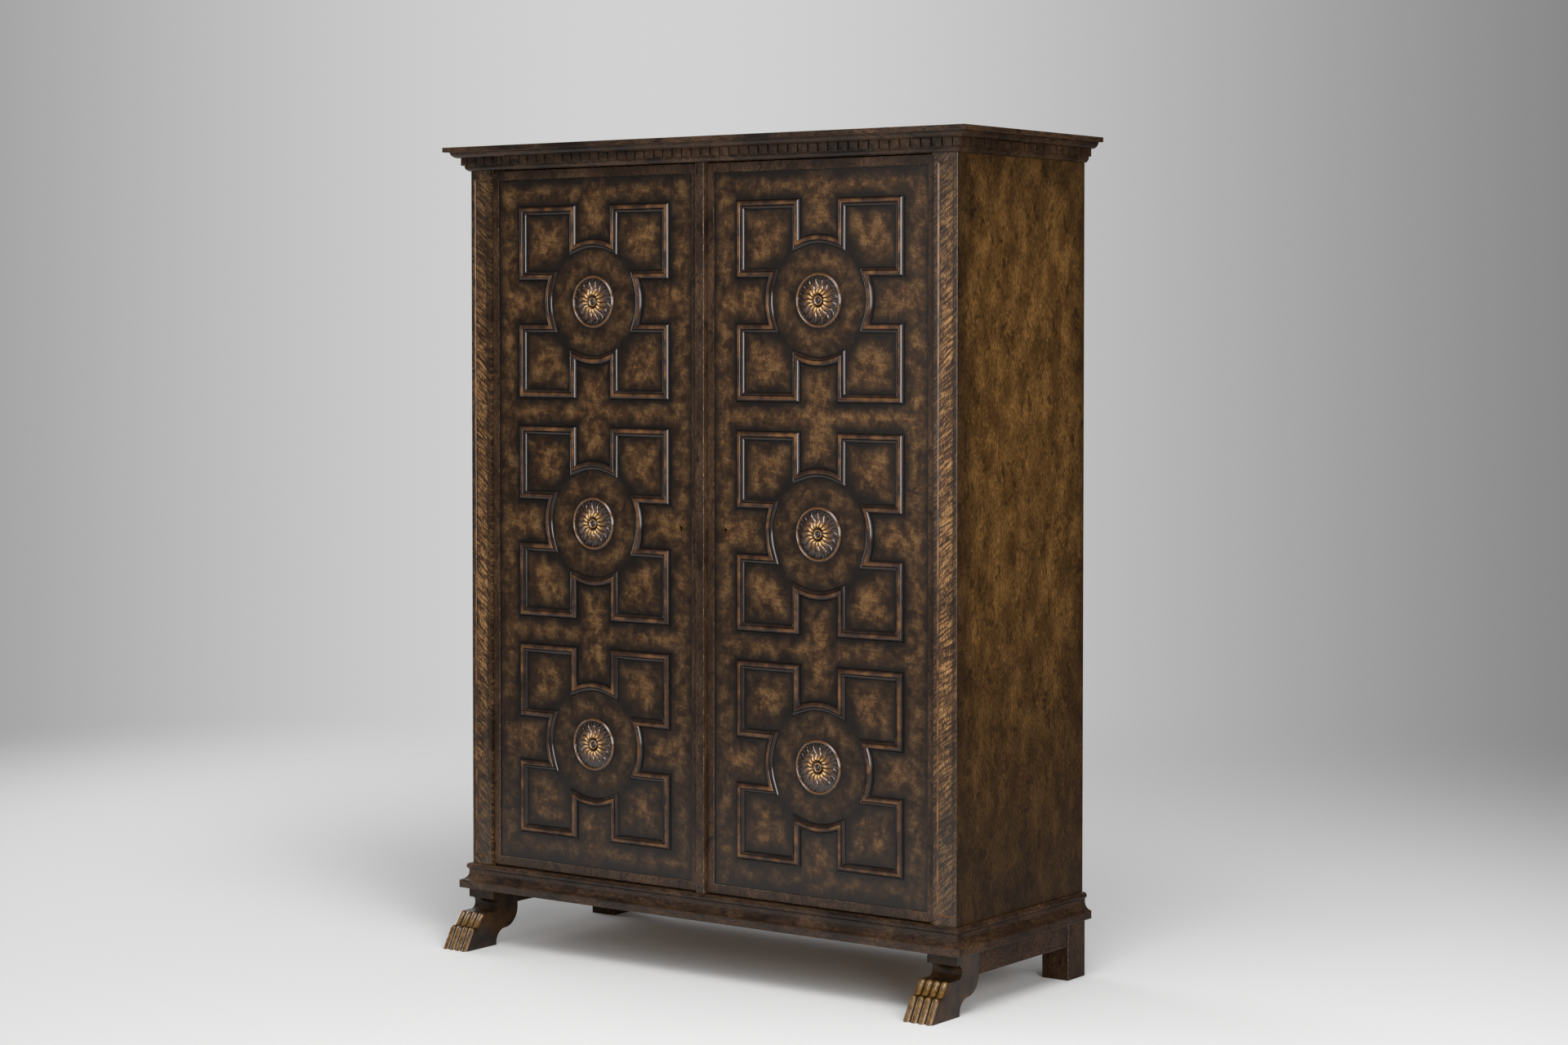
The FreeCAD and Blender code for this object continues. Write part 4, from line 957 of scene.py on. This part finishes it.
def softened(node, material, width, along="XYZ", slotName="stained_birch", seam=None):
    # width is one of the arris dictionary's
    shape = bmesh.new()
    shape.from_mesh(nodes[node].data)
    bmesh.ops.remove_doubles(shape, verts=shape.verts, dist=1e-6)
    bmesh.ops.dissolve_limit(shape, angle_limit=math.radians(0.5), verts=shape.verts, edges=shape.edges)
    weight = shape.edges.layers.float.new("bevel_weight_edge")
    axes = {"X": 0, "Y": 1, "Z": 2}
    for edge in shape.edges:
        run = (edge.verts[1].co - edge.verts[0].co).normalized()
        wanted = any(abs(run[axes[letter]]) > boards["straight"] for letter in along)
        # a tight seam between two pieces keeps its edges sharp and so doesn't show
        if seam is not None and all(abs(end.co.y - seam) < boards["jointGap"] for end in edge.verts):
            wanted = False
        if wanted and edge.calc_face_angle_signed(0) > math.radians(boards["keptAngle"]):
            edge[weight] = 1
    mesh = meshFrom(shape, node + "_soft", sharpAngle=boards["keptAngle"])
    piece = keepPiece(node + "_soft", mesh, material, bodyOf[node], slotName, node)
    bevel = piece.modifiers.new("arris", "BEVEL")
    bevel.limit_method = "WEIGHT"
    bevel.width = arris[width]
    bevel.segments = 2
    bevel.harden_normals = True
    mesh.materials.append(arrisFinish)
    bevel.material = 1
    return piece


def slopedField(piece, node):
    # the walls of the sunk field slope in by a little, and their polish catches the light as a line
    low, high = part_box(node)
    middle = (low + high) / 2
    floor = low.y + boards["fieldDepth"]
    for vert in piece.data.vertices:
        if abs(vert.co.y - floor) < 1e-5:
            vert.co.x += math.copysign(boards["fieldSlope"], middle.x - vert.co.x)
            vert.co.z += math.copysign(boards["fieldSlope"], middle.z - vert.co.z)
    for face in piece.data.polygons:
        within = low.x + boards["fieldEdge"] < face.center.x < high.x - boards["fieldEdge"]
        if within and low.y + boards["jointGap"] < face.center.y < floor - boards["jointGap"]:
            face.material_index = 3


def lined(piece, axis):
    # the face towards the inside of the case is bare pine
    piece.data.materials.append(uprightPine)
    for face in piece.data.polygons:
        if abs(face.normal[axis]) > boards["facing"] and face.normal[axis] * (face.center[axis] or 1) < 0:
            face.material_index = 2


for side, flame in zip(sides, (leftFlame, rightFlame)):
    upright = softened(side + "_pilaster", flame, "pilaster", seam=boards["jointLine"])
    upright.data.materials.append(sideBirch)
    upright.data.materials.append(mouldingFinish)
    slopedField(upright, side + "_pilaster")
    outside = pilasterHigh.x - boards["jointGap"]
    for face in upright.data.polygons:
        # the side's figure runs on over the pilaster's outer face
        if abs(face.normal.x) > boards["facing"] and abs(face.center.x) > outside:
            face.material_index = 2
    lined(softened(side + "_side", sideBirch, "board", seam=boards["jointLine"]), 0)
    lined(softened(side + "_back", sideBirch, "board"), 1)
    softened(side + "_door_border", uprightBirch, "border")
    softened(side + "_rear_leg", legBirch, "leg")
    softened(side + "_apron", deepBirch, "leg")
    softened(side + "_paw_foot", footFinish, "fine", slotName="carved_birch")
    softened("crown_" + side, deepBirch, "fine", along="Y")
    softened("dentil_" + side, deepBirch, "fine", along="YZ")
    softened("base_moulding_" + side, deepBirch, "fine", along="Y")
    paint(side + "_door_panel", doorBirch)
softened("crown_front", levelBirch, "fine", along="X")
softened("dentil_front", levelBirch, "fine", along="XZ")
softened("base_moulding_front", levelBirch, "fine", along="X")
softened("centre_post", uprightBirch, "board")
# the rails take the darker copy, painted shade under the crown
for node in ("head_rail", "sill_rail", "top_board", "rear_apron"):
    paint(node, railBirchPaintedShade)
print("case boards and mouldings are dressed")


# Boards inside the case

paint("centre_partition", uprightPine)
paint("floor_board", levelPine)
paint("shelf_cleats", deepPine)
for side in sides:
    paint(side + "_lower_shelf", levelPine)
    paint(side + "_upper_shelf", levelPine)
print("inside boards are lined")


# Metal, rubbed with oil: yellow brass with brown stains, and dark iron with rust in its file marks

metal = {
    # clean tint, stain's tint, scale of the stains, roughness where it is clean
    "worn brass": ("#b98f4c", "#5f4526", 220, 0.28),        # stains some 5 mm apart
    "tarnished brass": ("#5f4526", "#2c221d", 160, 0.4),    # 6 mm
    "filed iron": ("#4a4744", "#2c221d", 90, 0.42),         # 11 mm
    "tarnishFrom": (0.42, 0.68),
    "dulled": 0.25,        # how much rougher a stain is
    "mark": 90,            # scale of the file marks, which are some 11 mm long
    "markPacking": 30,     # and lie this much closer, 0.4 mm apart
    "markDepth": 0.00005,
}


def oldMetal(name):
    clean, dull, spots, roughness = metal[name]
    material, tree, place = newMaterial(name)
    stain = addNode(tree, "TexNoise", place, sockets={"Scale": spots, "Detail": 6, "Roughness": 0.65})
    tarnished = addNode(tree, "MapRange", stain, *metal["tarnishFrom"])
    tone = addNode(tree, "Mix", data_type="RGBA", sockets={0: tarnished, 6: linear(clean), 7: linear(dull)})
    rough = addNode(tree, "MapRange", tarnished, 0, 1, roughness, roughness + metal["dulled"])
    markSpace = addNode(tree, "Mapping", place, sockets={"Scale": (1, 1, metal["markPacking"])})
    marks = addNode(tree, "TexNoise", markSpace, sockets={"Scale": metal["mark"], "Detail": 3})
    relief = addNode(tree, "Bump", sockets={"Height": marks, "Distance": metal["markDepth"], "Strength": 0.3})
    surface = addNode(tree, "BsdfPrincipled", tone.outputs[2],
                      sockets={"Metallic": 1, "Roughness": rough, "Normal": relief})
    addNode(tree, "OutputMaterial", surface)
    return material


brass, darkBrass, iron = [oldMetal(name) for name in ("worn brass", "tarnished brass", "filed iron")]
for side in sides:
    paint(side + "_keyhole_liner", brass)
    paint(side + "_door_pivots", darkBrass)
    paint(side + "_lock_case", iron)
    paint(side + "_lock_bolt", iron)
paint("pivot_plates", darkBrass)
paint("strike_plates", brass)
print("metal is done")
